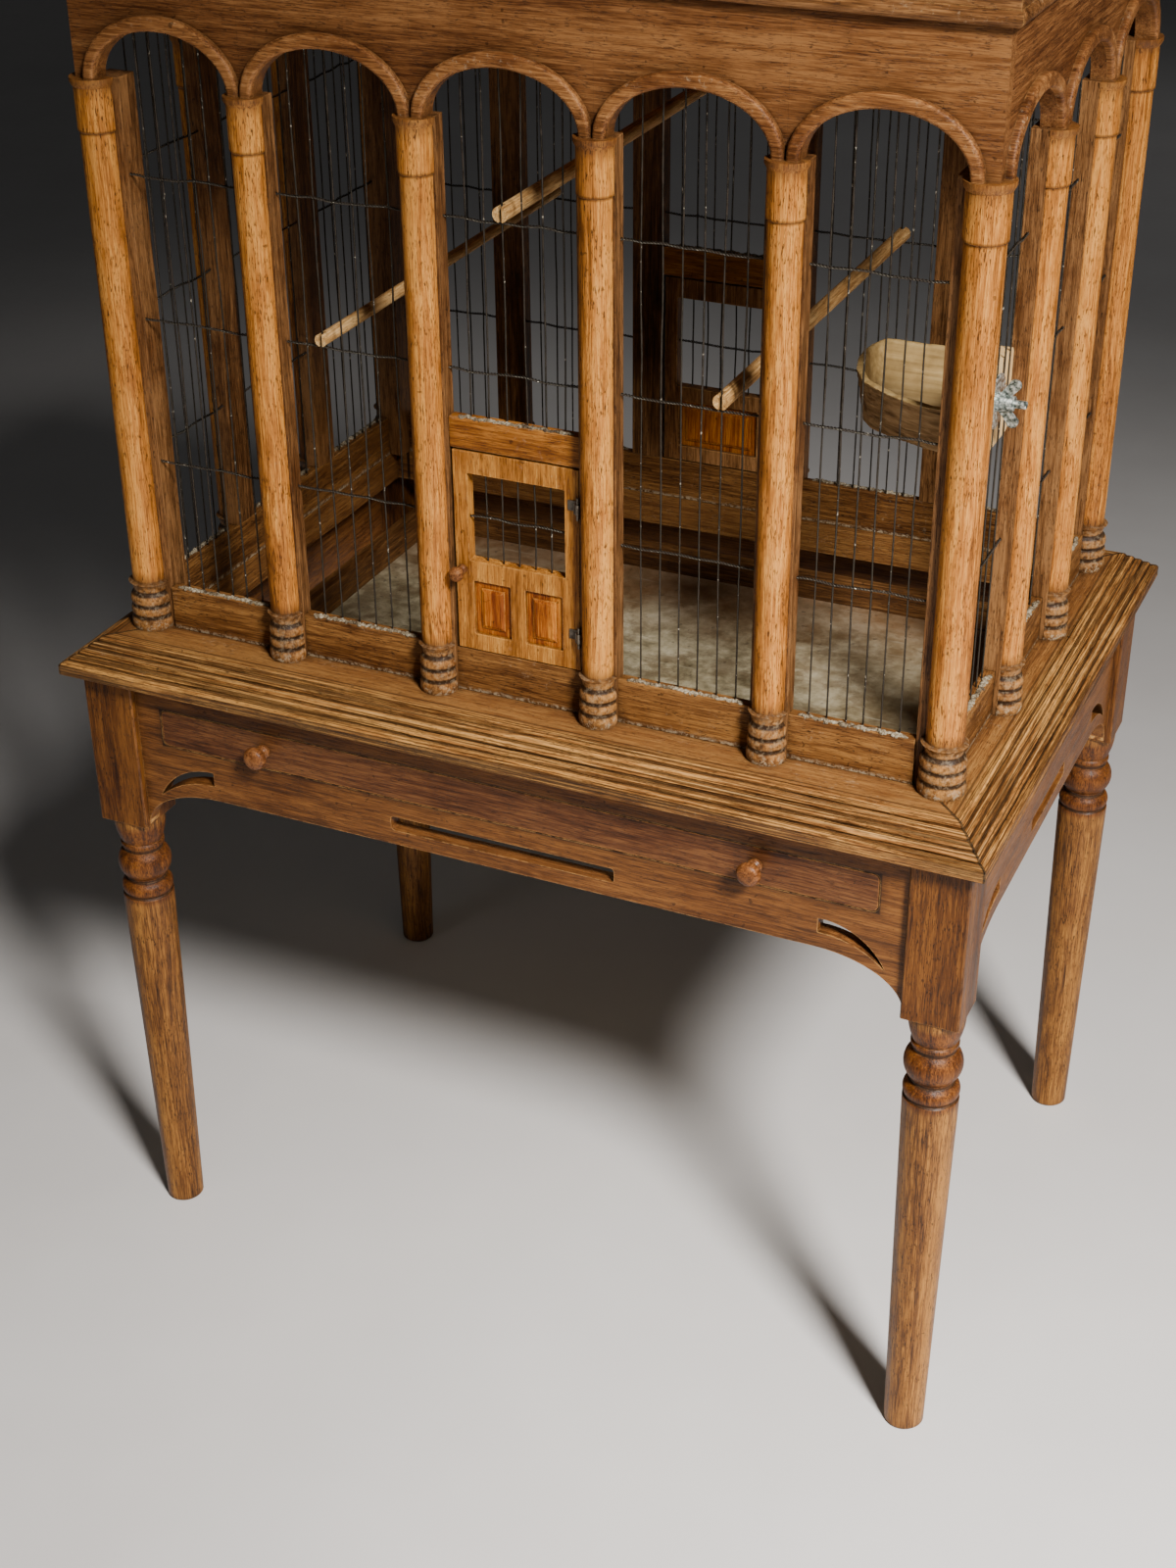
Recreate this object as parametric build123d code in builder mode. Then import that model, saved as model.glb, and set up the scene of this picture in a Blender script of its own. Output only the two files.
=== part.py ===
from build123d import *
import os

# Bird cage on a four-legged stand: an arcade of five bays by three, two doors and a pull-out tray.
# Millimetres. Origin on the floor under the middle of the cage, +Z up, -Y the front.

os.makedirs("parts", exist_ok=True)

# ---------------------------------------------------------------- driving dimensions

TABLE_Z = 610.0  # flat of the table top above the floor
TABLE_HALF_X = 401.0
TABLE_HALF_Y = 279.0
SLOPE_WIDTH = 31.0  # reeded outer margin of the table top
EDGE_DROP = 22.0  # outer edge below the flat
TABLE_THICK = 30.0

PITCH = 140.0  # front and back bay
CORNER_X = 346.0  # corner column axes
CORNER_Y = 212.0
SIDE_PITCH = 141.0
FACE_OUT = 6.0  # post faces lie this far outside the corner axes
CAPITAL_Z = TABLE_Z + 458.0
ROOF_Z = TABLE_Z + 580.0
ROOF_THICK = 12.0

POST_WIDTH = 30.0
POST_THICK = 14.0
CORNER_POST = 22.0
RAIL_HEIGHT = 38.0
RAIL_THICK = 10.0
RAIL_SETBACK = 4.0

FRIEZE_OUT = 3.0  # frieze stands proud of the post faces
FRIEZE_THICK = 12.0
JOINT_GAP = 0.1  # hairline between the lengths of a frieze
ARCH_RISE = 40.0
ARCH_SIDE = 10.0  # column axis to arch opening
BEAD_WIDTH = 9.5
BEAD_DEPTH = 6.0

WIRE_R = 0.7
WIRES_PER_BAY = 6
WIRE_INSET = 10.5  # wire plane behind the post faces
CROSS_WIRE_Z = (TABLE_Z + 150.0, TABLE_Z + 270.0, TABLE_Z + 385.0)
CROSS_OFFSET = 1.2

DOOR_LEFT = -53.2
DOOR_RIGHT = 53.0
DOOR_THICK = 10.0
DOOR_GAP = 0.8
HINGE_X = 54.4
HINGE_OUT = 2.4  # hinge pins in front of the post faces

LEG_X = 365.0
LEG_Y = 241.0
BLOCK = 47.0
BLOCK_BOTTOM = TABLE_Z - 176.0
APRON_THICK = 14.0
APRON_RECESS = 6.5
APRON_MID_Z = TABLE_Z - 133.5

DRAWER_HALF = 317.0
DRAWER_TOP = TABLE_Z - 56.5
DRAWER_BOTTOM = TABLE_Z - 89.0
DRAWER_FIT = 0.6
DRAWER_FRONT_THICK = 12.0
DRAWER_WALL = 8.0
DRAWER_INSET = 2.5  # side boards set in from the ends of the front
DRAWER_BACK_Y = 222.0
KNOB_X = 218.0

# ---------------------------------------------------------------- derived positions

FACE_Y = CORNER_Y + FACE_OUT
FACE_X = CORNER_X + FACE_OUT
WIRE_Y = FACE_Y - WIRE_INSET
WIRE_X = FACE_X - WIRE_INSET
UNDERSIDE = TABLE_Z - TABLE_THICK
RAIL_TOP = TABLE_Z + RAIL_HEIGHT
RAIL_END_X = CORNER_X - CORNER_POST
RAIL_END_Y = CORNER_Y - CORNER_POST
POST_XS = [-1.5 * PITCH, -0.5 * PITCH, 0.5 * PITCH, 1.5 * PITCH]
POST_YS = [-0.5 * SIDE_PITCH, 0.5 * SIDE_PITCH]
APRON_FACE_X = LEG_X + BLOCK / 2 - APRON_RECESS
APRON_FACE_Y = LEG_Y + BLOCK / 2 - APRON_RECESS
BLOCK_INNER_X = LEG_X - BLOCK / 2
BLOCK_INNER_Y = LEG_Y - BLOCK / 2

# bays as (centre, clear half width between posts, half span of the arch)
END_BAY_X = (1.5 * PITCH + CORNER_X) / 2
END_CLEAR_X = (RAIL_END_X - 1.5 * PITCH - POST_WIDTH / 2) / 2
END_CLEAR_MID_X = (RAIL_END_X + 1.5 * PITCH + POST_WIDTH / 2) / 2
END_SPAN_X = (CORNER_X - 1.5 * PITCH) / 2 - ARCH_SIDE
END_BAY_Y = (0.5 * SIDE_PITCH + CORNER_Y) / 2
END_CLEAR_Y = (RAIL_END_Y - 0.5 * SIDE_PITCH - POST_WIDTH / 2) / 2
END_CLEAR_MID_Y = (RAIL_END_Y + 0.5 * SIDE_PITCH + POST_WIDTH / 2) / 2
END_SPAN_Y = (CORNER_Y - 0.5 * SIDE_PITCH) / 2 - ARCH_SIDE
LONG_ARCHES = [
    (-END_BAY_X, END_SPAN_X),
    (-PITCH, PITCH / 2 - ARCH_SIDE),
    (0.0, PITCH / 2 - ARCH_SIDE),
    (PITCH, PITCH / 2 - ARCH_SIDE),
    (END_BAY_X, END_SPAN_X),
]
SHORT_ARCHES = [
    (-END_BAY_Y, END_SPAN_Y),
    (0.0, SIDE_PITCH / 2 - ARCH_SIDE),
    (END_BAY_Y, END_SPAN_Y),
]
LONG_BAYS = [
    (-END_CLEAR_MID_X, END_CLEAR_X),
    (-PITCH, PITCH / 2 - POST_WIDTH / 2),
    (0.0, PITCH / 2 - POST_WIDTH / 2),
    (PITCH, PITCH / 2 - POST_WIDTH / 2),
    (END_CLEAR_MID_X, END_CLEAR_X),
]
SHORT_BAYS = [
    (-END_CLEAR_MID_Y, END_CLEAR_Y),
    (0.0, SIDE_PITCH / 2 - POST_WIDTH / 2),
    (END_CLEAR_MID_Y, END_CLEAR_Y),
]

FRONT_DOOR_TOP = TABLE_Z + 207.0
FRONT_HEAD_TOP = TABLE_Z + 233.0
BACK_DOOR_TOP = TABLE_Z + 213.0
BACK_HEAD_TOP = TABLE_Z + 240.0
DOOR_BOTTOM = RAIL_TOP + DOOR_GAP


def save(node, name):
    """Write one named node as its own STEP file."""
    node.part.label = name
    export_step(node.part, "parts/" + name + ".step")


STANDING = (Align.CENTER, Align.CENTER, Align.MIN)  # centred in plan, standing on its base


def save_placed(shapes):
    """Write each named, already placed shape as a node."""
    for name, shape in shapes.items():
        with BuildPart() as node:
            add(shape)
        save(node, name)


def placed(shape, x=0.0, y=0.0, z=0.0, turn=0.0):
    """A copy of a shape turned about Z and then moved."""
    return shape.moved(Location((x, y, z)) * Location((0, 0, 0), (0, 0, turn)))


# ---------------------------------------------------------------- the stand: legs

CUP_R = 22.6
FOOT_R = 17.0

with BuildPart() as leg:
    with BuildSketch(Plane.XZ):
        with BuildLine():
            Polyline(
                (0, 0),
                (FOOT_R - 2, 0),
                (FOOT_R, 2),
                (CUP_R, 349),
                (CUP_R, 352),
                (CUP_R - 1.4, 353.5),
                (CUP_R - 1.4, 355),
                (CUP_R - 0.4, 356.5),
            )
            ThreePointArc((CUP_R - 0.4, 356.5), (CUP_R, 361.5), (19.4, 367))
            Polyline((19.4, 367), (17.6, 368.5), (17.6, 371), (18.8, 372.5))
            ThreePointArc((18.8, 372.5), (23.6, 385), (18.8, 397.5))
            Polyline((18.8, 397.5), (17.4, 398.5), (17.4, 402), (19.2, 403.5), (19.2, 406), (17.8, 407.5))
            ThreePointArc((17.8, 407.5), (21.2, 418), (CUP_R, 430))
            Polyline((CUP_R, 430), (CUP_R, BLOCK_BOTTOM), (0, BLOCK_BOTTOM), (0, 0))
        make_face()
    revolve(axis=Axis.Z)
    with BuildSketch(Plane.XY.offset(BLOCK_BOTTOM)):
        Rectangle(BLOCK, BLOCK)
    extrude(amount=UNDERSIDE - BLOCK_BOTTOM)
    chamfer(leg.faces().filter_by(Plane.XZ).edges().filter_by(Axis.Z), length=1.2)

LEGS = {
    "leg_front_left": (-LEG_X, -LEG_Y),
    "leg_front_right": (LEG_X, -LEG_Y),
    "leg_back_left": (-LEG_X, LEG_Y),
    "leg_back_right": (LEG_X, LEG_Y),
}
for name, (leg_x, leg_y) in LEGS.items():
    with BuildPart() as one_leg:
        add(placed(leg.part, leg_x, leg_y))
    save(one_leg, name)

# ---------------------------------------------------------------- the stand: aprons

BRACKET_WIDTH = 74.0
SLOT_TOP = TABLE_Z - 107.0
SLOT_BOTTOM = TABLE_Z - 120.0


def apron(half_length, slot_half, drawer):
    """A shaped rail in the XZ plane, its face at y = 0 and its thickness towards +Y."""
    low = BLOCK_BOTTOM + 1.5
    rise = APRON_MID_Z - low
    inner = half_length - BRACKET_WIDTH
    with BuildPart() as rail:
        with BuildSketch(Plane.XZ):
            with BuildLine():
                Polyline(
                    (-half_length, low),
                    (-half_length, UNDERSIDE),
                    (half_length, UNDERSIDE),
                    (half_length, low),
                )
                EllipticalCenterArc((inner, low), BRACKET_WIDTH, rise, start_angle=0, arc_size=90)
                Line((inner, APRON_MID_Z), (-inner, APRON_MID_Z))
                EllipticalCenterArc((-inner, low), BRACKET_WIDTH, rise, start_angle=90, arc_size=90)
            make_face()
            for side in (-1, 1):
                with BuildLine():
                    ThreePointArc(
                        (side * (inner + 3), SLOT_TOP),
                        (side * (inner + 36), SLOT_TOP - 9),
                        (side * (inner + 58), SLOT_TOP - 34),
                    )
                    ThreePointArc(
                        (side * (inner + 3), SLOT_BOTTOM),
                        (side * (inner + 34), SLOT_BOTTOM - 5.5),
                        (side * (inner + 58), SLOT_TOP - 34),
                    )
                    Line((side * (inner + 3), SLOT_TOP), (side * (inner + 3), SLOT_BOTTOM))
                make_face(mode=Mode.SUBTRACT)
            with Locations((0, (SLOT_TOP + SLOT_BOTTOM) / 2)):
                RectangleRounded(2 * slot_half, SLOT_TOP - SLOT_BOTTOM, 3, mode=Mode.SUBTRACT)
            if drawer:
                with Locations((0, (DRAWER_TOP + DRAWER_BOTTOM) / 2)):
                    RectangleRounded(
                        2 * (DRAWER_HALF + DRAWER_FIT),
                        DRAWER_TOP - DRAWER_BOTTOM + 2 * DRAWER_FIT,
                        5 + DRAWER_FIT,
                        mode=Mode.SUBTRACT,
                    )
        extrude(amount=-APRON_THICK)
    return rail


front_apron = apron(BLOCK_INNER_X, 100.0, True)
back_apron = apron(BLOCK_INNER_X, 100.0, False)
side_apron = apron(BLOCK_INNER_Y, 52.0, False)
save_placed({
    "apron_front": placed(front_apron.part, y=-APRON_FACE_Y),
    "apron_back": placed(back_apron.part, y=APRON_FACE_Y, turn=180),
    "apron_left": placed(side_apron.part, x=-APRON_FACE_X, turn=-90),
    "apron_right": placed(side_apron.part, x=APRON_FACE_X, turn=90),
})

# ---------------------------------------------------------------- the stand: table-top mouldings

INNER_X = CORNER_X - 8.0  # inside edge of the frame
INNER_Y = CORNER_Y - 8.0
CORNER_RUN = TABLE_HALF_X - INNER_X


def moulding(width, length):
    """A reeded moulding along X with its outer edge at y = 0 and its body towards +Y."""
    top = TABLE_Z
    reeds = 5
    step = SLOPE_WIDTH / reeds
    drop = EDGE_DROP / reeds
    with BuildPart() as strip:
        with BuildSketch(Plane.YZ):
            with BuildLine():
                Polyline(
                    (width, top),
                    (width, top - TABLE_THICK),
                    (1, top - TABLE_THICK),
                    (0, top - TABLE_THICK + 1),
                    (0, top - EDGE_DROP - 2),
                )
                for k in range(reeds):
                    low = top - EDGE_DROP + k * drop - 2 * (k == 0)
                    y0 = k * step
                    crest = top - EDGE_DROP + (k + 1) * drop
                    ThreePointArc((y0, low), (y0 + step * 0.35, crest - 0.8), (y0 + step * 0.8, crest))
                    Line((y0 + step * 0.8, crest), (y0 + step, crest))
                Line((SLOPE_WIDTH, top), (width, top))
            make_face()
        extrude(amount=length / 2, both=True)
    return strip


long_moulding = moulding(TABLE_HALF_Y - INNER_Y, 2 * TABLE_HALF_X)
short_moulding = moulding(TABLE_HALF_X - INNER_X, 2 * TABLE_HALF_Y)
LONG_PLAN = [
    (-TABLE_HALF_X, 0),
    (TABLE_HALF_X, 0),
    (INNER_X, CORNER_RUN),
    (INNER_X, TABLE_HALF_Y - INNER_Y),
    (-INNER_X, TABLE_HALF_Y - INNER_Y),
    (-INNER_X, CORNER_RUN),
]
SHORT_PLAN = [
    (-TABLE_HALF_Y, 0),
    (TABLE_HALF_Y, 0),
    (TABLE_HALF_Y - CORNER_RUN, CORNER_RUN),
    (CORNER_RUN - TABLE_HALF_Y, CORNER_RUN),
]


def mitred(strip, plan):
    """Cut a moulding to its plan outline."""
    with BuildPart() as piece:
        add(strip.part)
        with BuildSketch(Plane.XY.offset(UNDERSIDE - 1)):
            Polygon(*plan, align=None)
        extrude(amount=TABLE_THICK + 4, mode=Mode.INTERSECT)
    return piece


long_piece = mitred(long_moulding, LONG_PLAN)
short_piece = mitred(short_moulding, SHORT_PLAN)
save_placed({
    "table_moulding_front": placed(long_piece.part, y=-TABLE_HALF_Y),
    "table_moulding_back": placed(long_piece.part, y=TABLE_HALF_Y, turn=180),
    "table_moulding_left": placed(short_piece.part, x=-TABLE_HALF_X, turn=-90),
    "table_moulding_right": placed(short_piece.part, x=TABLE_HALF_X, turn=90),
})

# ---------------------------------------------------------------- drawer runners

RUNNER_TOP = DRAWER_BOTTOM + 0.9
RUNNER_LENGTH = 2 * (APRON_FACE_Y - APRON_THICK)

with BuildPart() as drawer_runners:
    for side in (-1, 1):
        with BuildSketch(Plane.XZ):
            with Locations((side * 322, RUNNER_TOP - 4)):
                Rectangle(38, 8)
            with Locations((side * (DRAWER_HALF + 1.2 + 6), RUNNER_TOP + 10)):
                Rectangle(12, 22)
        extrude(amount=RUNNER_LENGTH / 2, both=True)
save(drawer_runners, "drawer_runners")

# ---------------------------------------------------------------- drawer

DRAWER_FACE_Y = -APRON_FACE_Y
BOX_FRONT_Y = DRAWER_FACE_Y + DRAWER_FRONT_THICK
BOX_TOP = DRAWER_TOP - 1.5
BOX_BOTTOM = DRAWER_BOTTOM + 1.0
TRAY_THICK = 3.0

with BuildPart() as drawer_front:
    with BuildSketch(Plane.XZ.offset(-DRAWER_FACE_Y)):
        with Locations((0, (DRAWER_TOP + DRAWER_BOTTOM) / 2)):
            RectangleRounded(2 * DRAWER_HALF, DRAWER_TOP - DRAWER_BOTTOM, 5)
    extrude(amount=-DRAWER_FRONT_THICK)
save(drawer_front, "drawer_front")

SIDE_LENGTH = DRAWER_BACK_Y - BOX_FRONT_Y
TRAY_HALF = DRAWER_HALF - DRAWER_INSET - DRAWER_WALL
with BuildPart() as drawer_sides:
    for side in (-1, 1):
        with Locations((side * (TRAY_HALF + DRAWER_WALL / 2), (BOX_FRONT_Y + DRAWER_BACK_Y) / 2, BOX_BOTTOM)):
            Box(DRAWER_WALL, SIDE_LENGTH, BOX_TOP - BOX_BOTTOM, align=STANDING)
save(drawer_sides, "drawer_sides")

with BuildPart() as drawer_back:
    with Locations((0, DRAWER_BACK_Y - DRAWER_WALL / 2, BOX_BOTTOM)):
        Box(2 * TRAY_HALF, DRAWER_WALL, BOX_TOP - BOX_BOTTOM, align=STANDING)
save(drawer_back, "drawer_back")

with BuildPart() as drawer_tray:
    tray_length = DRAWER_BACK_Y - DRAWER_WALL - BOX_FRONT_Y
    with Locations((0, BOX_FRONT_Y + tray_length / 2, BOX_BOTTOM + 1.0)):
        Box(2 * TRAY_HALF, tray_length, TRAY_THICK, align=STANDING)
save(drawer_tray, "drawer_tray")


def knob(head_r, length):
    """A turned pull along -Y from y = 0."""
    with BuildPart() as pull:
        with BuildSketch(Plane.XY):
            with BuildLine():
                Polyline(
                    (0, 0),
                    (head_r * 0.62, 0),
                    (head_r * 0.62, -length * 0.12),
                    (head_r * 0.42, -length * 0.22),
                    (head_r * 0.46, -length * 0.42),
                )
                ThreePointArc(
                    (head_r * 0.46, -length * 0.42), (head_r, -length * 0.7), (head_r * 0.55, -length * 0.96)
                )
                Polyline((head_r * 0.55, -length * 0.96), (0, -length), (0, 0))
            make_face()
        revolve(axis=Axis.Y)
    return pull


drawer_pull = knob(10.0, 20.0)
KNOB_Z = (DRAWER_TOP + DRAWER_BOTTOM) / 2
with BuildPart() as drawer_knobs:
    for side in (-1, 1):
        add(placed(drawer_pull.part, side * KNOB_X, DRAWER_FACE_Y, KNOB_Z))
save(drawer_knobs, "drawer_knobs")

# ---------------------------------------------------------------- cage: base rails

LONG_RAIL_MID = FACE_Y - RAIL_SETBACK - RAIL_THICK / 2
SHORT_RAIL_MID = FACE_X - RAIL_SETBACK - RAIL_THICK / 2

for name, side in (("base_rail_front", -1), ("base_rail_back", 1)):
    with BuildPart() as base_rail:
        with Locations((0, side * LONG_RAIL_MID, TABLE_Z)):
            Box(2 * RAIL_END_X, RAIL_THICK, RAIL_HEIGHT, align=STANDING)
    save(base_rail, name)
for name, side in (("base_rail_left", -1), ("base_rail_right", 1)):
    with BuildPart() as base_rail:
        with Locations((side * SHORT_RAIL_MID, 0, TABLE_Z)):
            Box(RAIL_THICK, 2 * RAIL_END_Y, RAIL_HEIGHT, align=STANDING)
    save(base_rail, name)

# ---------------------------------------------------------------- cage: posts

with BuildPart() as post:
    with BuildSketch(Plane.XY.offset(TABLE_Z)):
        with Locations((0, POST_THICK / 2)):
            Rectangle(POST_WIDTH, POST_THICK)
    extrude(amount=CAPITAL_Z - TABLE_Z)
    with Locations((0, RAIL_SETBACK, TABLE_Z)):
        Box(
            POST_WIDTH,
            POST_THICK,
            RAIL_HEIGHT,
            align=(Align.CENTER, Align.MIN, Align.MIN),
            mode=Mode.SUBTRACT,
        )

with BuildPart() as posts_long:
    for x in POST_XS:
        add(placed(post.part, x, -FACE_Y))
        add(placed(post.part, x, FACE_Y, turn=180))
save(posts_long, "posts_front_and_back")

with BuildPart() as posts_short:
    for y in POST_YS:
        add(placed(post.part, -FACE_X, y, turn=-90))
        add(placed(post.part, FACE_X, y, turn=90))
save(posts_short, "posts_left_and_right")

with BuildPart() as posts_corner:
    with Locations((0, 0, (TABLE_Z + CAPITAL_Z) / 2)):
        with GridLocations(2 * CORNER_X - CORNER_POST, 2 * CORNER_Y - CORNER_POST, 2, 2):
            Box(CORNER_POST, CORNER_POST, CAPITAL_Z - TABLE_Z)
save(posts_corner, "posts_corner")

# ---------------------------------------------------------------- cage: turned columns


def turned_column(base_r, shaft_low, shaft_high, ring_r, arc):
    """A turned column about Z, standing on the table top, swept through part of a circle."""
    rings = [(0, 11, base_r), (12, 21, base_r - 0.5), (22, 30.5, base_r - 0.8)]
    lip_z = TABLE_Z + 41.5
    collar_z = TABLE_Z + 417
    with BuildPart() as column:
        with BuildSketch(Plane.XZ):
            with BuildLine():
                end = Line((0, CAPITAL_Z), (0, TABLE_Z)) @ 1
                for low, high, r in rings:
                    Line(end, (r - 0.6, TABLE_Z + low))
                    mid = (r, TABLE_Z + (low + high) / 2)
                    end = ThreePointArc((r - 0.6, TABLE_Z + low), mid, (r - 1.4, TABLE_Z + high)) @ 1
                Line(end, (shaft_low, lip_z - 9))
                ThreePointArc((shaft_low, lip_z - 9), (shaft_low + 0.6, lip_z - 4), (base_r - 0.6, lip_z))
                Polyline(
                    (base_r - 0.6, lip_z),
                    (shaft_low, lip_z + 1),
                    (shaft_high - 1.2, collar_z),
                    (shaft_high, collar_z + 1),
                    (shaft_high, CAPITAL_Z - 7),
                    (ring_r - 1.5, CAPITAL_Z - 6),
                    (ring_r, CAPITAL_Z - 3),
                    (ring_r, CAPITAL_Z),
                    (0, CAPITAL_Z),
                )
            make_face()
        revolve(axis=Axis.Z, revolution_arc=arc)
    return column


half_column = turned_column(16.0, 12.6, 14.0, 16.0, -180)
corner_column = turned_column(18.5, 14.4, 15.6, 18.0, -270)

with BuildPart() as columns_long:
    for x in POST_XS:
        add(placed(half_column.part, x, -FACE_Y))
        add(placed(half_column.part, x, FACE_Y, turn=180))
save(columns_long, "columns_front_and_back")

with BuildPart() as columns_short:
    for y in POST_YS:
        add(placed(half_column.part, -FACE_X, y, turn=-90))
        add(placed(half_column.part, FACE_X, y, turn=90))
save(columns_short, "columns_left_and_right")

CORNER_TURNS = [(1, -1, 90), (1, 1, 180), (-1, 1, 270), (-1, -1, 0)]
with BuildPart() as columns_corner:
    for sx, sy, turn in CORNER_TURNS:
        add(placed(corner_column.part, sx * CORNER_X, sy * CORNER_Y, turn=turn))
save(columns_corner, "columns_corner")

# ---------------------------------------------------------------- cage: frieze boards and arch beads

FRIEZE_X = FACE_X + FRIEZE_OUT
FRIEZE_Y = FACE_Y + FRIEZE_OUT


def frieze(half_length, arches, joints):
    """A board along X, outer face at y = 0, with arches in its lower edge, jointed over the columns."""
    with BuildPart() as board:
        with BuildSketch(Plane.XZ):
            with Locations((0, CAPITAL_Z)):
                Rectangle(2 * half_length, ROOF_Z - CAPITAL_Z, align=(Align.CENTER, Align.MIN))
            for centre, half_span in arches:
                with Locations((centre, CAPITAL_Z)):
                    Ellipse(half_span, ARCH_RISE, mode=Mode.SUBTRACT)
            for x in joints:
                with Locations((x, CAPITAL_Z)):
                    Rectangle(JOINT_GAP, 2 * (ROOF_Z - CAPITAL_Z + 1), mode=Mode.SUBTRACT)
        extrude(amount=-FRIEZE_THICK)
    return board


long_frieze = frieze(FRIEZE_X, LONG_ARCHES, POST_XS)
short_frieze = frieze(FRIEZE_Y - FRIEZE_THICK, SHORT_ARCHES, POST_YS)  # butts between the long boards
save_placed({
    "frieze_front": placed(long_frieze.part, y=-FRIEZE_Y),
    "frieze_back": placed(long_frieze.part, y=FRIEZE_Y, turn=180),
    "frieze_left": placed(short_frieze.part, x=-FRIEZE_X, turn=-90),
    "frieze_right": placed(short_frieze.part, x=FRIEZE_X, turn=90),
})


def arch_bead(centre, half_span):
    """A half-elliptical bead on the face y = 0, standing out towards -Y."""
    with BuildPart() as bead:
        with BuildSketch(Plane.XZ):
            with Locations((centre, CAPITAL_Z)):
                Ellipse(half_span + BEAD_WIDTH, ARCH_RISE + BEAD_WIDTH + 1.5)
                Ellipse(half_span, ARCH_RISE, mode=Mode.SUBTRACT)
            with Locations((centre, CAPITAL_Z)):
                Rectangle(400, 200, align=(Align.CENTER, Align.MAX), mode=Mode.SUBTRACT)
        extrude(amount=BEAD_DEPTH)
        rims = bead.faces().sort_by(Axis.Y)[0].edges().filter_by(GeomType.LINE, reverse=True)
        fillet(rims, radius=2.6)
    return bead


with BuildPart() as arch_beads:
    for centre, half_span in LONG_ARCHES:
        long_bead = arch_bead(centre, half_span)
        add(placed(long_bead.part, y=-FRIEZE_Y))
        add(placed(long_bead.part, y=FRIEZE_Y, turn=180))
    for centre, half_span in SHORT_ARCHES:
        short_bead = arch_bead(centre, half_span)
        add(placed(short_bead.part, x=-FRIEZE_X, turn=-90))
        add(placed(short_bead.part, x=FRIEZE_X, turn=90))
save(arch_beads, "arch_beads")

# ---------------------------------------------------------------- cage: cornice and roof board

CORNICE_OUT = 15.0
MITRE_GAP = 0.1
CORNICE_FOOT = TABLE_Z + 556.0


def cornice_strip(half_length):
    """A mitred cornice along X on the face y = 0, projecting towards -Y."""
    with BuildPart() as strip:
        with BuildSketch(Plane.YZ):
            with BuildLine():
                Polyline((0, ROOF_Z + ROOF_THICK), (0, CORNICE_FOOT), (-5, CORNICE_FOOT))
                ThreePointArc((-5, CORNICE_FOOT), (-9, CORNICE_FOOT + 5), (-6, CORNICE_FOOT + 11))
                Line((-6, CORNICE_FOOT + 11), (-6, CORNICE_FOOT + 13))
                ThreePointArc((-6, CORNICE_FOOT + 13), (-8.5, CORNICE_FOOT + 21), (-14, CORNICE_FOOT + 26))
                Polyline(
                    (-14, CORNICE_FOOT + 26),
                    (-CORNICE_OUT, CORNICE_FOOT + 28),
                    (-CORNICE_OUT, ROOF_Z + ROOF_THICK),
                    (0, ROOF_Z + ROOF_THICK),
                )
            make_face()
        extrude(amount=half_length + CORNICE_OUT, both=True)
        with BuildSketch(Plane.XY.offset(CORNICE_FOOT - 1)):
            inner_end = half_length - MITRE_GAP
            Polygon(
                (-inner_end, 0),
                (inner_end, 0),
                (inner_end + CORNICE_OUT + 1, -CORNICE_OUT - 1),
                (-inner_end - CORNICE_OUT - 1, -CORNICE_OUT - 1),
                align=None,
            )
        extrude(amount=60, mode=Mode.INTERSECT)
    return strip


long_cornice = cornice_strip(FRIEZE_X)
short_cornice = cornice_strip(FRIEZE_Y)
with BuildPart() as cornice:
    add(placed(long_cornice.part, y=-FRIEZE_Y))
    add(placed(long_cornice.part, y=FRIEZE_Y, turn=180))
    add(placed(short_cornice.part, x=-FRIEZE_X, turn=-90))
    add(placed(short_cornice.part, x=FRIEZE_X, turn=90))
save(cornice, "cornice")

with BuildPart() as roof_board:
    with Locations((0, 0, ROOF_Z)):
        Box(2 * FRIEZE_X, 2 * FRIEZE_Y, ROOF_THICK, align=STANDING)
save(roof_board, "roof_board")

# ---------------------------------------------------------------- cage: wires


def wire_bay(centre, half_width, foot_z, levels):
    """One bay of wires in the plane y = 0: uprights and cross wires joined where they meet."""
    gap = 2 * half_width / (WIRES_PER_BAY + 1)
    with BuildPart() as bay:
        for k in range(WIRES_PER_BAY):
            x = centre - half_width + (k + 1) * gap
            with Locations((x, 0, foot_z)):
                Cylinder(WIRE_R, ROOF_Z - foot_z, align=STANDING)
        for z in levels:
            with Locations((centre, -CROSS_OFFSET, z)):
                Cylinder(WIRE_R, 2 * half_width, rotation=(0, 90, 0))
    return bay


def wire_wall(bays, head_top):
    """All the bays of one wall; a bay with a door starts above the door's head rail."""
    shapes = []
    for centre, half_width in bays:
        door_bay = head_top is not None and centre == 0.0
        foot_z = head_top if door_bay else RAIL_TOP
        levels = [z for z in CROSS_WIRE_Z if z > foot_z]
        bay = wire_bay(centre, half_width, foot_z, levels)
        shapes.append(bay.part)
    return shapes


WIRE_WALLS = {
    "wires_front": (wire_wall(LONG_BAYS, FRONT_HEAD_TOP), 0, -WIRE_Y, 0),
    "wires_back": (wire_wall(LONG_BAYS, BACK_HEAD_TOP), 0, WIRE_Y, 180),
    "wires_left": (wire_wall(SHORT_BAYS, None), -WIRE_X, 0, -90),
    "wires_right": (wire_wall(SHORT_BAYS, None), WIRE_X, 0, 90),
}
for name, (shapes, x, y, turn) in WIRE_WALLS.items():
    with BuildPart() as wire_node:
        for shape in shapes:
            add(placed(shape, x, y, turn=turn))
    save(wire_node, name)

# ---------------------------------------------------------------- doors

CLEAR = PITCH / 2 - POST_WIDTH / 2
RAIL_FACE = FACE_Y - RAIL_SETBACK
LEAF_OUT = RAIL_FACE + 0.5

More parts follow.
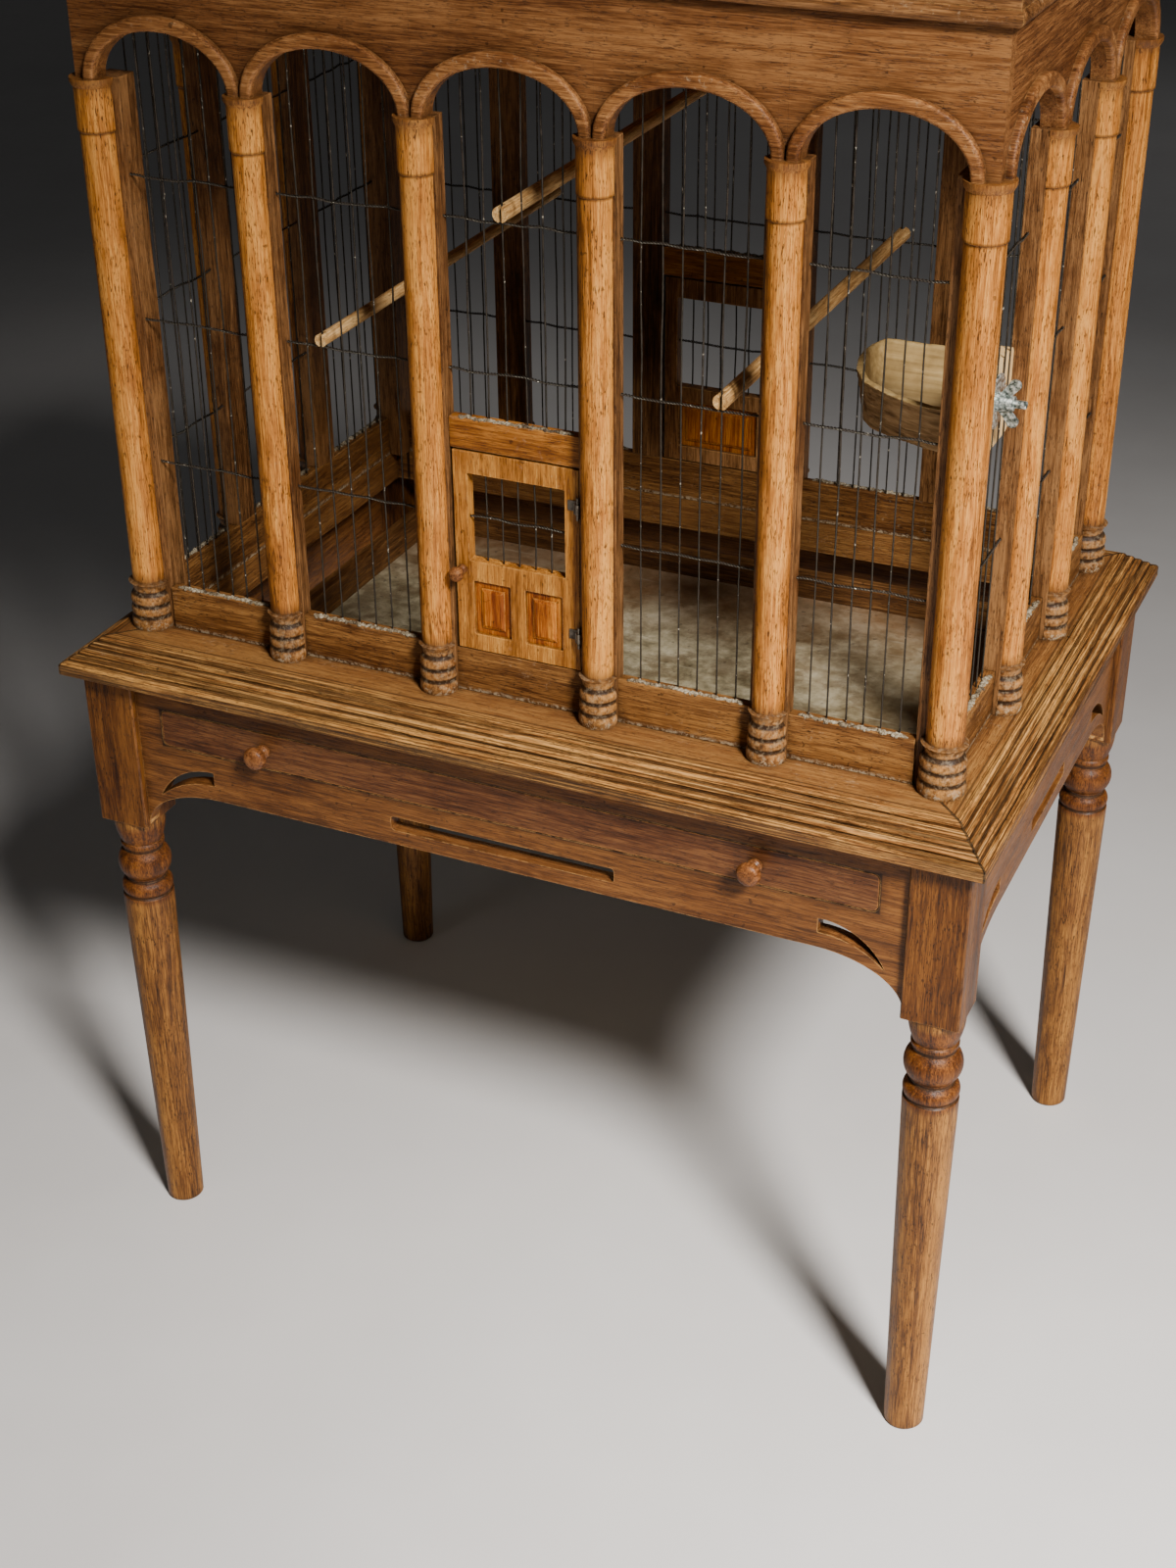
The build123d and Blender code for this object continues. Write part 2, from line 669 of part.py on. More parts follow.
with BuildPart() as door_head_rails:
    for side, door_top, high in ((-1, FRONT_DOOR_TOP, FRONT_HEAD_TOP), (1, BACK_DOOR_TOP, BACK_HEAD_TOP)):
        low = door_top + 1.5
        with Locations((0, side * LONG_RAIL_MID, (low + high) / 2)):
            Box(2 * CLEAR, RAIL_THICK, high - low)
save(door_head_rails, "door_head_rails")

WINDOW_HALF = 41.0
MUNTIN_HALF = 6.5
PANEL_EDGE = 38.0
PANEL_THICK = 5.0
DOOR_WIRES = 5


def door_frame(top, window_low, window_high, openings):
    """A framed leaf in the XZ plane, outer face at y = 0 and body towards +Y."""
    with BuildPart() as leaf:
        with BuildSketch(Plane.XZ):
            with Locations(((DOOR_LEFT + DOOR_RIGHT) / 2, (DOOR_BOTTOM + top) / 2)):
                Rectangle(DOOR_RIGHT - DOOR_LEFT, top - DOOR_BOTTOM)
            with Locations((0, (window_low + window_high) / 2)):
                Rectangle(2 * WINDOW_HALF, window_high - window_low, mode=Mode.SUBTRACT)
            for x0, x1, z0, z1 in openings:
                with Locations(((x0 + x1) / 2, (z0 + z1) / 2)):
                    Rectangle(x1 - x0, z1 - z0, mode=Mode.SUBTRACT)
        extrude(amount=-DOOR_THICK)
    return leaf


def door_panels(openings):
    """Thin panels that fill the leaf's lower openings, set back from both faces."""
    with BuildPart() as panels:
        for x0, x1, z0, z1 in openings:
            with Locations(((x0 + x1) / 2, DOOR_THICK / 2, (z0 + z1) / 2)):
                Box(x1 - x0, PANEL_THICK, z1 - z0)
    return panels


def door_grid(low, high):
    """The window's upright wires and one cross wire."""
    gap = 2 * WINDOW_HALF / (DOOR_WIRES + 1)
    with BuildPart() as grid:
        for k in range(DOOR_WIRES):
            with Locations((-WINDOW_HALF + (k + 1) * gap, DOOR_THICK / 2, low)):
                Cylinder(WIRE_R, high - low, align=STANDING)
        with Locations((0, DOOR_THICK / 2 - CROSS_OFFSET, (low + high) / 2)):
            Cylinder(WIRE_R, 2 * WINDOW_HALF, rotation=(0, 90, 0))
    return grid


PIN_R = 1.0
KNUCKLE_BORE = 1.06
KNUCKLE_R = 1.9
HINGE_Y = FACE_Y + HINGE_OUT


def door_eyes(levels):
    """Knuckles on the leaf, written for a leaf whose outer face is at y = 0."""
    reach = HINGE_Y - LEAF_OUT
    with BuildPart() as eyes:
        for z in levels:
            with Locations((HINGE_X, -reach, z)):
                Cylinder(KNUCKLE_R, 8)
            with Locations((DOOR_RIGHT - 4.5, -0.4, z)):
                Box(9, 0.8, 8)
            with Locations((DOOR_RIGHT - 0.8, -reach / 2, z)):
                Box(1.6, reach, 8)
            with Locations((HINGE_X, -reach, z)):
                Cylinder(KNUCKLE_BORE, 8, mode=Mode.SUBTRACT)
    return eyes


def hinge_pin(z):
    """A pin held by two short arms from a plate on the post's side, for a front wall at y = -FACE_Y."""
    with BuildPart() as pin:
        with Locations((HINGE_X, -HINGE_Y, z)):
            Cylinder(PIN_R, 18)
        for side in (-1, 1):
            with Locations((CLEAR - 0.4, -HINGE_Y + 5.5, z + side * 6.8)):
                Box(0.8, 11, 4)
    return pin


FRONT_OPENINGS = [
    (-PANEL_EDGE, -MUNTIN_HALF, TABLE_Z + 53, TABLE_Z + 99),
    (MUNTIN_HALF, PANEL_EDGE, TABLE_Z + 53, TABLE_Z + 99),
]
BACK_OPENINGS = [(-PANEL_EDGE, PANEL_EDGE, TABLE_Z + 53, TABLE_Z + 97)]
FRONT_EYES = [TABLE_Z + 70, TABLE_Z + 178]
BACK_EYES = [TABLE_Z + 70, TABLE_Z + 184]
door_pull = knob(6.0, 17.0)

DOORS = {
    "front": (0, -LEAF_OUT, FRONT_DOOR_TOP, TABLE_Z + 116, TABLE_Z + 189, FRONT_OPENINGS, FRONT_EYES),
    "back": (180, LEAF_OUT, BACK_DOOR_TOP, TABLE_Z + 111, TABLE_Z + 195, BACK_OPENINGS, BACK_EYES),
}
for wall, (turn, y, top, low, high, openings, eye_levels) in DOORS.items():
    leaf_shape = door_frame(top, low, high, openings)
    with BuildPart() as leaf_frame:
        add(placed(leaf_shape.part, y=y, turn=turn))
    save(leaf_frame, wall + "_door_frame")
    panel_shape = door_panels(openings)
    with BuildPart() as leaf_panels:
        add(placed(panel_shape.part, y=y, turn=turn))
    save(leaf_panels, wall + "_door_panels")
    grid_shape = door_grid(low, high)
    with BuildPart() as leaf_grid:
        add(placed(grid_shape.part, y=y, turn=turn))
    save(leaf_grid, wall + "_door_wires")
    eye_shape = door_eyes(eye_levels)
    with BuildPart() as leaf_eyes:
        add(placed(eye_shape.part, y=y, turn=turn))
    save(leaf_eyes, wall + "_door_eyes")
    knob_shape = door_pull.part.moved(Location(((DOOR_LEFT - WINDOW_HALF) / 2, 0, TABLE_Z + 108)))
    with BuildPart() as leaf_knob:
        add(placed(knob_shape, y=y, turn=turn))
    save(leaf_knob, wall + "_door_knob")

with BuildPart() as door_hinge_pins:
    for z in FRONT_EYES:
        front_pin = hinge_pin(z)
        add(front_pin.part)
    for z in BACK_EYES:
        back_pin = hinge_pin(z)
        add(placed(back_pin.part, turn=180))
save(door_hinge_pins, "door_hinge_pins")

# ---------------------------------------------------------------- perches

PERCH_OUT = 4.5
PERCH_SLOT = 2.6


def perch(x, level, radius):
    """A round perch along Y, slotted at both ends to straddle an upright and rest on a cross wire."""
    z = level + WIRE_R + radius + 0.05
    reach = WIRE_Y + PERCH_OUT
    with BuildPart() as dowel:
        with Locations((x, 0, z)):
            Cylinder(radius, 2 * reach, rotation=(90, 0, 0))
        for side in (-1, 1):
            with Locations((x, side * (reach - 4), z)):
                Box(PERCH_SLOT, 8.5, 2 * radius + 1, mode=Mode.SUBTRACT)
    return dowel


WIRE_GAP = 2 * CLEAR / (WIRES_PER_BAY + 1)
PERCHES = {
    "perch_left": (-PITCH - 1.5 * WIRE_GAP, CROSS_WIRE_Z[1], 5.0),
    "perch_middle": (-0.5 * WIRE_GAP, CROSS_WIRE_Z[2], 6.0),
    "perch_right": (PITCH + 1.5 * WIRE_GAP, CROSS_WIRE_Z[1], 6.0),
}
for name, (x, level, radius) in PERCHES.items():
    one_perch = perch(x, level, radius)
    save(one_perch, name)

# ---------------------------------------------------------------- feeder on the right wall

BOLT_Y = -END_CLEAR_MID_Y
BOLT_Z = TABLE_Z + 279.0
BOARD_FACE = WIRE_X - WIRE_R - 0.1  # board's outer face, against the wires
BOARD_THICK = 8.5
CUP_END = BOARD_FACE - BOARD_THICK
CUP_RIM = TABLE_Z + 287.0
CUP_DEPTH = 46.0
CUP_WALL = 6.0

CUP_OUTLINE = [
    (236, -62),
    (231, -76),
    (229, -92),
    (231, -112),
    (237, -134),
    (249, -156),
    (266, -169),
    (286, -181),
    (308, -188),
    (CUP_END, -189),
    (CUP_END, -60),
]
CUP_FLOOR = [
    (242, -92),
    (238, -98),
    (236, -104),
    (237, -112),
    (241, -122),
    (250, -134),
    (266, -143),
    (284, -150),
    (308, -158),
    (CUP_END, -163),
    (CUP_END, -90),
]


def cup_body(inset, low, high):
    """The feeder's tapering half-log shape, drawn in by a wall thickness."""
    with BuildPart() as body:
        for outline, z in ((CUP_FLOOR, low), (CUP_OUTLINE, high)):
            with BuildSketch(Plane.XY.offset(z)):
                Polygon(*outline, align=None)
                if inset:
                    offset(amount=-inset, kind=Kind.INTERSECTION, mode=Mode.REPLACE)
        loft(ruled=True)
    return body


outer_cup = cup_body(0, CUP_RIM - CUP_DEPTH, CUP_RIM)
inner_cup = cup_body(CUP_WALL, CUP_RIM - CUP_DEPTH + CUP_WALL, CUP_RIM + 0.5)
BOLT_R = 3.0
BOLT_FIT = 0.05

with BuildPart() as feeder_cup:
    add(outer_cup.part)
    add(inner_cup.part, mode=Mode.SUBTRACT)
    with Locations((CUP_END - CUP_WALL / 2, BOLT_Y, BOLT_Z)):
        Cylinder(BOLT_R + BOLT_FIT, CUP_WALL + 2, rotation=(0, 90, 0), mode=Mode.SUBTRACT)
save(feeder_cup, "feeder_cup")

with BuildPart() as feeder_board:
    with BuildSketch(Plane.YZ.offset(CUP_END)):
        with Locations((-136.5, TABLE_Z + 271)):
            RectangleRounded(99, 64, 6)
        with Locations((BOLT_Y, BOLT_Z)):
            Circle(BOLT_R + BOLT_FIT, mode=Mode.SUBTRACT)
    extrude(amount=BOARD_THICK)
save(feeder_board, "feeder_board")

WASHER_X = WIRE_X + CROSS_OFFSET + WIRE_R + 0.1
WASHER_THICK = 1.5
NUT_X = WASHER_X + WASHER_THICK
NUT_LENGTH = 12.0
BOLT_TIP = NUT_X + NUT_LENGTH + 9

with BuildPart() as feeder_bolt:
    with BuildSketch(Plane.XY):
        with BuildLine():
            Polyline(
                (CUP_END - CUP_WALL - 2.6, 0),
                (CUP_END - CUP_WALL - 2.6, 4),
                (CUP_END - CUP_WALL - 1.4, 5.5),
                (CUP_END - CUP_WALL, 5.5),
                (CUP_END - CUP_WALL, BOLT_R),
                (BOLT_TIP - 0.8, BOLT_R),
                (BOLT_TIP, BOLT_R - 0.8),
                (BOLT_TIP, 0),
                close=True,
            )
        make_face()
    revolve(axis=Axis.X)
bolt_shape = placed(feeder_bolt.part, y=BOLT_Y, z=BOLT_Z)

with BuildPart() as washer:
    with BuildSketch(Plane.YZ.offset(WASHER_X)):
        Circle(20)
        Circle(BOLT_R + 0.3, mode=Mode.SUBTRACT)
    extrude(amount=WASHER_THICK)

with BuildPart() as wing_nut:
    with BuildSketch(Plane.YZ.offset(NUT_X)):
        Circle(7)
    extrude(amount=NUT_LENGTH, taper=8)
    with BuildSketch(Plane.XZ.offset(-1.4)):
        for side in (-1, 1):
            with BuildLine():
                Polyline((NUT_X + 1, 0), (NUT_X + 1, side * 6), (NUT_X + 7, side * 14))
                ThreePointArc(
                    (NUT_X + 7, side * 14), (NUT_X + 13, side * 17.5), (NUT_X + 15.5, side * 12)
                )
                Polyline((NUT_X + 15.5, side * 12), (NUT_X + 9, side * 5), (NUT_X + 9, 0), (NUT_X + 1, 0))
            make_face()
    extrude(amount=2.8)
    with Locations((NUT_X, 0, 0)):
        Cylinder(BOLT_R + BOLT_FIT, 40, rotation=(0, 90, 0), mode=Mode.SUBTRACT)

save_placed({
    "feeder_bolt": bolt_shape,
    "feeder_washer": placed(washer.part, y=BOLT_Y, z=BOLT_Z),
    "feeder_wing_nut": placed(wing_nut.part, y=BOLT_Y, z=BOLT_Z),
})
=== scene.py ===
import math
import random

import bmesh
import bpy
from mathutils import Matrix, Vector, noise


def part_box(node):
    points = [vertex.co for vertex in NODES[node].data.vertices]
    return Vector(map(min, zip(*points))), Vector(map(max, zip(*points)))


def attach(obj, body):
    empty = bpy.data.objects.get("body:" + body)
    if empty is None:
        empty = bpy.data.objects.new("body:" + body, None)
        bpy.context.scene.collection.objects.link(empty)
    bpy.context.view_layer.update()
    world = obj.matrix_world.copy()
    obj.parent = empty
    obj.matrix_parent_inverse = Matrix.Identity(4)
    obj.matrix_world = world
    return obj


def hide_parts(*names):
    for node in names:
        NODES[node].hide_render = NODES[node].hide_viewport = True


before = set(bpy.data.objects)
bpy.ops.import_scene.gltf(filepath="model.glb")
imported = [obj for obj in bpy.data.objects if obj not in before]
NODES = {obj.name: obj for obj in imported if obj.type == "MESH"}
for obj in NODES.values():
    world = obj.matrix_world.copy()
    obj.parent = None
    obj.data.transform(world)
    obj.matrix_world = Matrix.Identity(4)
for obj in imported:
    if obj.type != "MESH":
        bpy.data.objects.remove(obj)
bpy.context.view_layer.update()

TABLE_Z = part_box("base_rail_front")[0][2]  # flat of the table top
TABLE_HALF_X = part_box("table_moulding_right")[1][0]
TABLE_HALF_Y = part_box("table_moulding_back")[1][1]
BLOCK_BOTTOM = 0.434  # underside of a leg's square block
LEG_BEADS = 0.345  # bottom of the turned beads under the block
LEG_GROOVES = (0.354, 0.369, 0.400)
RING_GROOVES = (0.0115, 0.0215, 0.0320)  # heights of a column's turned grooves above the table
RING_TOP = 0.0420
COLLAR = 0.4175
NECK = (0.440, 0.456)
REED = 0.0062  # width of one reed of the table's edge
REED_COUNT = 5
FIELD_BORDER = 0.0055  # flat margin round a door panel's raised field
FIELD_SLOPE = 0.0032
FIELD_RISE = 0.0022
WIRE_R = 0.0007
WIRES_PER_BAY = 6
WIRES_PER_DOOR = 5
UPRIGHT_SWAY = 0.0011
DOOR_SWAY = 0.0007
CROSS_OUT = 0.0012  # how far outside the uprights the cross wires run
TWIST_PITCH = 0.0052  # one turn of a twisted pair
TWIST_STEPS = 7  # points in one turn
TWIST_R = 0.0007
TWIST_SAG = 0.0012
CRUMBS = 9  # lumps of filler for each wire
VOXEL = 0.0014  # grid that the feeder's bark is carved on
MERGE = 0.00001  # points closer than this are one
WORN_ANGLE = 38  # degrees; sharper edges are rounded
ROOT = "stand_and_cage"
CAMERA_PLACE = (0.7286, -1.6729, 1.5018)
CAMERA_ANGLES = (-24.68, 30.73, -0.52)  # degrees: heading, tilt down, roll
CAMERA_LENS = 53.57

# ------------------------------------------------------------------ colours, 0-255

# each wood runs dark, middle, light
HONEY = ((112, 64, 20), (178, 111, 44), (216, 149, 70))
WALNUT = ((62, 38, 20), (104, 68, 36), (142, 100, 56))
TEAK = ((68, 40, 18), (122, 80, 42), (166, 118, 72))
GOLDEN = ((116, 66, 20), (176, 114, 46), (212, 152, 74))
BUFF = ((140, 98, 52), (196, 150, 92), (226, 188, 130))
KNOB = ((66, 36, 16), (112, 66, 32), (150, 98, 54))
HOLLOW = ((126, 100, 58), (172, 142, 90), (202, 174, 120))
PALE_PLY = ((204, 164, 108), (218, 180, 124), (230, 198, 146))
LEG = ((54, 30, 11), (110, 69, 28), (150, 102, 46))
APRON = ((66, 38, 16), (104, 63, 29), (130, 84, 40))
TABLE = ((84, 48, 18), (150, 98, 46), (196, 142, 76))
DRAWER = ((44, 23, 11), (82, 47, 25), (112, 72, 40))
# darker than TEAK: partly painted shade, partly dirt
POST = ((54, 31, 14), (102, 66, 35), (144, 101, 60))
RAIL = ((66, 36, 15), (112, 72, 34), (150, 104, 54))
FRIEZE = ((76, 42, 20), (120, 76, 40), (152, 104, 60))
BEAD = ((78, 44, 20), (130, 82, 42), (172, 120, 70))
HEAD_RAIL = ((92, 48, 14), (146, 88, 32), (180, 118, 50))
PANEL = ((104, 44, 8), (158, 84, 20), (198, 124, 40))
DUST = (180, 160, 130)
# dark of painted corner shade and grime
CORNER_SHADE_AND_DIRT = (36, 22, 11)
# pale edge colour: wear and painted highlight
EDGE_WEAR_AND_HIGHLIGHT = (196, 148, 88)

# ------------------------------------------------------------------ node-graph helpers


def srgb(r, g, b):
    """A display colour in 0-255 as linear RGBA."""
    linear = [(c / 255 / 12.92) if c <= 10 else ((c / 255 + 0.055) / 1.055) ** 2.4 for c in (r, g, b)]
    return (*linear, 1.0)


class Graph:
    """A small builder for one material's node tree."""

    def __init__(self, name):
        self.mat = bpy.data.materials.new(name)
        self.mat.use_nodes = True
        self.tree = self.mat.node_tree
        self.tree.nodes.clear()
        self.coords = self.add("ShaderNodeTexCoord").outputs["Object"]

    def add(self, kind, **props):
        node = self.tree.nodes.new(kind)
        for key, value in props.items():
            setattr(node, key, value)
        return node

    def plug(self, socket, value):
        if isinstance(value, bpy.types.NodeSocket):
            self.tree.links.new(value, socket)
        else:
            socket.default_value = value

    def mapped(self, scale, offset=(0, 0, 0), turn=(0, 0, 0), coords=None):
        node = self.add("ShaderNodeMapping")
        self.plug(node.inputs["Vector"], coords or self.coords)
        node.inputs["Location"].default_value = offset
        node.inputs["Rotation"].default_value = turn
        node.inputs["Scale"].default_value = scale
        return node.outputs[0]

    def noise(self, vector, scale, detail=3.0, rough=0.55, warp=0.0):
        node = self.add("ShaderNodeTexNoise")
        self.plug(node.inputs["Vector"], vector)
        node.inputs["Scale"].default_value = scale
        node.inputs["Detail"].default_value = detail
        node.inputs["Roughness"].default_value = rough
        node.inputs["Distortion"].default_value = warp
        return node.outputs["Fac"]

    def math(self, kind, a, b=0.0):
        node = self.add("ShaderNodeMath", operation=kind)
        self.plug(node.inputs[0], a)
        self.plug(node.inputs[1], b)
        return node.outputs[0]

    def plus(self, a, b):
        return self.math("ADD", a, b)

    def minus(self, a, b):
        return self.math("SUBTRACT", a, b)

    def times(self, a, b):
        return self.math("MULTIPLY", a, b)

    def absolute(self, value):
        return self.math("ABSOLUTE", value)

    def step(self, value, low, high, out_low=0.0, out_high=1.0):
        node = self.add("ShaderNodeMapRange", interpolation_type="SMOOTHSTEP")
        self.plug(node.inputs["Value"], value)
        limits = {"From Min": low, "From Max": high, "To Min": out_low, "To Max": out_high}
        for key, number in limits.items():
            node.inputs[key].default_value = number
        return node.outputs[0]

    def mix(self, fac, a, b, kind="MIX"):
        node = self.add("ShaderNodeMix", data_type="RGBA", blend_type=kind)
        self.plug(node.inputs[0], fac)
        self.plug(node.inputs[6], a)
        self.plug(node.inputs[7], b)
        return node.outputs[2]

    def ramp(self, fac, stops):
        node = self.add("ShaderNodeValToRGB")
        self.plug(node.inputs[0], fac)
        ramp = node.color_ramp
        while len(ramp.elements) < len(stops):
            ramp.elements.new(0.5)
        for element, (place, colour) in zip(ramp.elements, stops):
            element.position = place
            element.color = colour
        return node.outputs[0]

    def axis(self, index):
        node = self.add("ShaderNodeSeparateXYZ")
        self.plug(node.inputs[0], self.coords)
        return node.outputs[index]

    def finish(self, colour, rough, metal=0.0, height=None, depth=0.001, strength=0.5, specular=0.5):
        shader = self.add("ShaderNodeBsdfPrincipled")
        self.plug(shader.inputs["Base Color"], colour)
        self.plug(shader.inputs["Roughness"], rough)
        self.plug(shader.inputs["Metallic"], metal)
        shader.inputs["Specular IOR Level"].default_value = specular
        if height is not None:
            bump = self.add("ShaderNodeBump")
            self.plug(bump.inputs["Height"], height)
            bump.inputs["Distance"].default_value = depth
            bump.inputs["Strength"].default_value = strength
            self.plug(shader.inputs["Normal"], bump.outputs[0])
        out = self.add("ShaderNodeOutputMaterial")
        self.plug(out.inputs["Surface"], shader.outputs[0])
        return self.mat


# ------------------------------------------------------------------ materials

GRAIN_AXES = {"x": 0, "y": 1, "z": 2}


def stretched(g, base, grain, along):
    """Coordinates drawn out along the grain, so that noise makes streaks."""
    scale = [1.0, 1.0, 1.0]
    scale[GRAIN_AXES[grain]] = along
    return g.mapped(scale, coords=base)


def dark_of(tone, amount):
    """A linear colour dimmed, still opaque."""
    return tuple(c * amount for c in tone[:3]) + (1.0,)


def edge_mask(g, radius):
    """1 on sharp outer edges, 0 elsewhere."""
    bevel = g.add("ShaderNodeBevel", samples=4)
    bevel.inputs["Radius"].default_value = radius
    flat = g.add("ShaderNodeNewGeometry").outputs["Normal"]
    dot = g.add("ShaderNodeVectorMath", operation="DOT_PRODUCT")
    g.plug(dot.inputs[0], bevel.outputs[0])
    g.plug(dot.inputs[1], flat)
    return g.step(g.minus(1.0, dot.outputs["Value"]), 0.02, 0.16)


def crevice_shade_mask(g, reach):
    """1 in tight inner corners, 0 on open surfaces; an occlusion mask that places painted shade."""
    shade = g.add("ShaderNodeAmbientOcclusion", samples=4)
    shade.inputs["Distance"].default_value = reach
    return g.step(shade.outputs["AO"], 0.40, 0.88, 1.0, 0.0)


def wood(
    name,
    tones,
    grain="z",
    offset=0.0,
    fleck=0.55,
    rough=0.45,
    relief=0.5,
    stain=0.5,
    figure_size=28.0,
    dust=0.0,
    edge_wear_and_highlight=0.0,
    edge_wear_and_highlight_tone=EDGE_WEAR_AND_HIGHLIGHT,
    extra=None,
):
    """Old figured hardwood. Tones run dark, middle, light; grain is the axis it follows."""
    g = Graph(name)
    dark, middle, light = (srgb(*tone) for tone in tones)
    base = g.mapped((1, 1, 1), (offset, offset * 1.7, offset * 0.6))
    along = stretched(g, base, grain, 0.05)
    bend = g.noise(base, 5.0, 2.0)
    bent = g.add("ShaderNodeVectorMath", operation="ADD")
    g.plug(bent.inputs[0], along)
    g.plug(bent.inputs[1], g.times(bend, 0.022))
    flow = bent.outputs[0]
    figure = g.noise(flow, figure_size, 4.0, 0.6, 0.4)
    streaks = g.noise(flow, 300.0, 4.0, 0.62)
    fine = g.noise(stretched(g, base, grain, 0.035), 1100.0, 3.0, 0.65)
    tone = g.plus(g.times(figure, 0.34), g.times(streaks, 0.30))
    tone = g.plus(tone, g.times(fine, 0.36))
    colour = g.ramp(tone, [(0.41, dark), (0.495, middle), (0.575, light)])
    short = stretched(g, base, grain, 0.14)
    flecks = g.step(g.noise(short, 1300.0, 2.0, 0.5), 0.56, 0.64)
    clumps = g.step(g.noise(base, 60.0, 3.0, 0.6), 0.36, 0.58, 0.25, 1.0)
    flecks = g.times(flecks, clumps)
    colour = g.mix(g.times(flecks, fleck), colour, dark_of(dark, 0.30))
    blotch = g.step(g.noise(base, 13.0, 5.0, 0.68), 0.48, 0.70)
    stain_and_shade = g.mix(1.0, colour, (0.50, 0.38, 0.28, 1.0), "MULTIPLY")
    colour = g.mix(g.times(blotch, stain), colour, stain_and_shade)
    spots = g.step(g.noise(base, 170.0, 2.0, 0.5), 0.70, 0.75)
    colour = g.mix(g.times(spots, 0.6), colour, dark_of(dark, 0.25))
    roughness = g.step(streaks, 0.3, 0.7, rough - 0.06, rough + 0.12)
    height = g.plus(g.times(streaks, 0.3), g.times(fine, 0.3))
    height = g.plus(height, g.times(flecks, -0.35))
    if extra:
        colour, height = extra(g, base, colour, height)
    # Pale edges: partly wear, partly painted highlight along the sharp edges.
    if edge_wear_and_highlight:
        ragged = g.step(g.noise(base, 140.0, 4.0, 0.7), 0.36, 0.60)
        lightened = g.times(edge_mask(g, 0.0016), ragged)
        colour = g.mix(g.times(lightened, edge_wear_and_highlight), colour, srgb(*edge_wear_and_highlight_tone))
    if dust:
        powder = g.step(g.noise(base, 210.0, 5.0, 0.75), 0.56, 0.68)
        patches = g.step(g.noise(base, 23.0, 3.0, 0.6), 0.45, 0.64)
        colour = g.mix(g.times(g.times(powder, patches), dust), colour, srgb(*DUST))
    # Painted shade and grime in inner corners, placed by an occlusion mask.
    corners = crevice_shade_mask(g, 0.010)
    dirt_and_corner_shade = g.times(corners, g.step(g.noise(base, 80.0, 4.0, 0.7), 0.30, 0.60, 0.55, 1.0))
    colour = g.mix(g.times(dirt_and_corner_shade, 0.62), colour, srgb(*CORNER_SHADE_AND_DIRT))
    return g.finish(colour, roughness, height=height, depth=0.0012, strength=relief, specular=0.2)


def near_value(g, value, target, width):
    """1 where a value is at its target, 0 beyond the given distance."""
    gap = g.absolute(g.minus(value, target))
    return g.step(gap, width * 0.35, width, 1.0, 0.0)


def turned_dirt_and_shade(g, base, colour, height):
    """Dark rings and grooves at a column's foot, a dark neck and collar line at its top (painted shade and
    grime), and dust where it stands.
    """
    z = g.minus(g.axis(2), TABLE_Z)
    patchy = g.step(g.noise(base, 90.0, 4.0, 0.7), 0.34, 0.62, 0.70, 1.0)
    foot = g.step(z, RING_TOP, RING_TOP + 0.003, 1.0, 0.0)
    mottle = g.step(g.noise(base, 230.0, 4.0, 0.7), 0.36, 0.64)
    foot_tone = g.mix(mottle, srgb(54, 34, 18), srgb(150, 110, 68))
    colour = g.mix(g.times(foot, g.times(patchy, 0.85)), colour, foot_tone)
    for level in RING_GROOVES:
        groove = near_value(g, z, level, 0.0030)
        colour = g.mix(g.times(groove, 0.92), colour, srgb(30, 17, 8))
    above = g.step(z, RING_TOP + 0.001, RING_TOP + 0.012, 0.55, 0.0)
    above = g.times(above, g.step(z, RING_TOP - 0.001, RING_TOP, 0.0, 1.0))
    colour = g.mix(above, colour, srgb(70, 42, 20))
    # Painted shade and grime under the capital: a darker neck and a dark line at the collar.
    neck = g.step(z, *NECK, 0.0, 0.75)
    colour = g.mix(g.times(neck, patchy), colour, srgb(84, 52, 28))
    colour = g.mix(g.times(near_value(g, z, COLLAR, 0.0025), 0.6), colour, srgb(60, 34, 14))
    powder = g.step(g.noise(base, 240.0, 5.0, 0.75), 0.50, 0.60)
    ledge = g.step(z, 0.001, 0.012, 0.9, 0.0)
    dirt_and_corner_shade = g.math("MAXIMUM", ledge, g.times(foot, 0.22))
    colour = g.mix(g.times(powder, dirt_and_corner_shade), colour, srgb(*DUST))
    return colour, height


def foot_dust(g, base, colour, height):
    """Dirt and pale dust along the joint with the table, and dirty scuffs above it."""
    z = g.minus(g.axis(2), TABLE_Z)
    ragged = g.times(g.noise(base, 70.0, 4.0, 0.7), 0.006)
    line = g.step(g.minus(z, ragged), -0.002, 0.0015, 1.0, 0.0)
    powder = g.step(g.noise(base, 300.0, 5.0, 0.75), 0.44, 0.56)
    colour = g.mix(g.times(line, 0.6), colour, srgb(58, 36, 18))
    colour = g.mix(g.times(line, g.times(powder, 0.8)), colour, srgb(*DUST))
    return colour, height


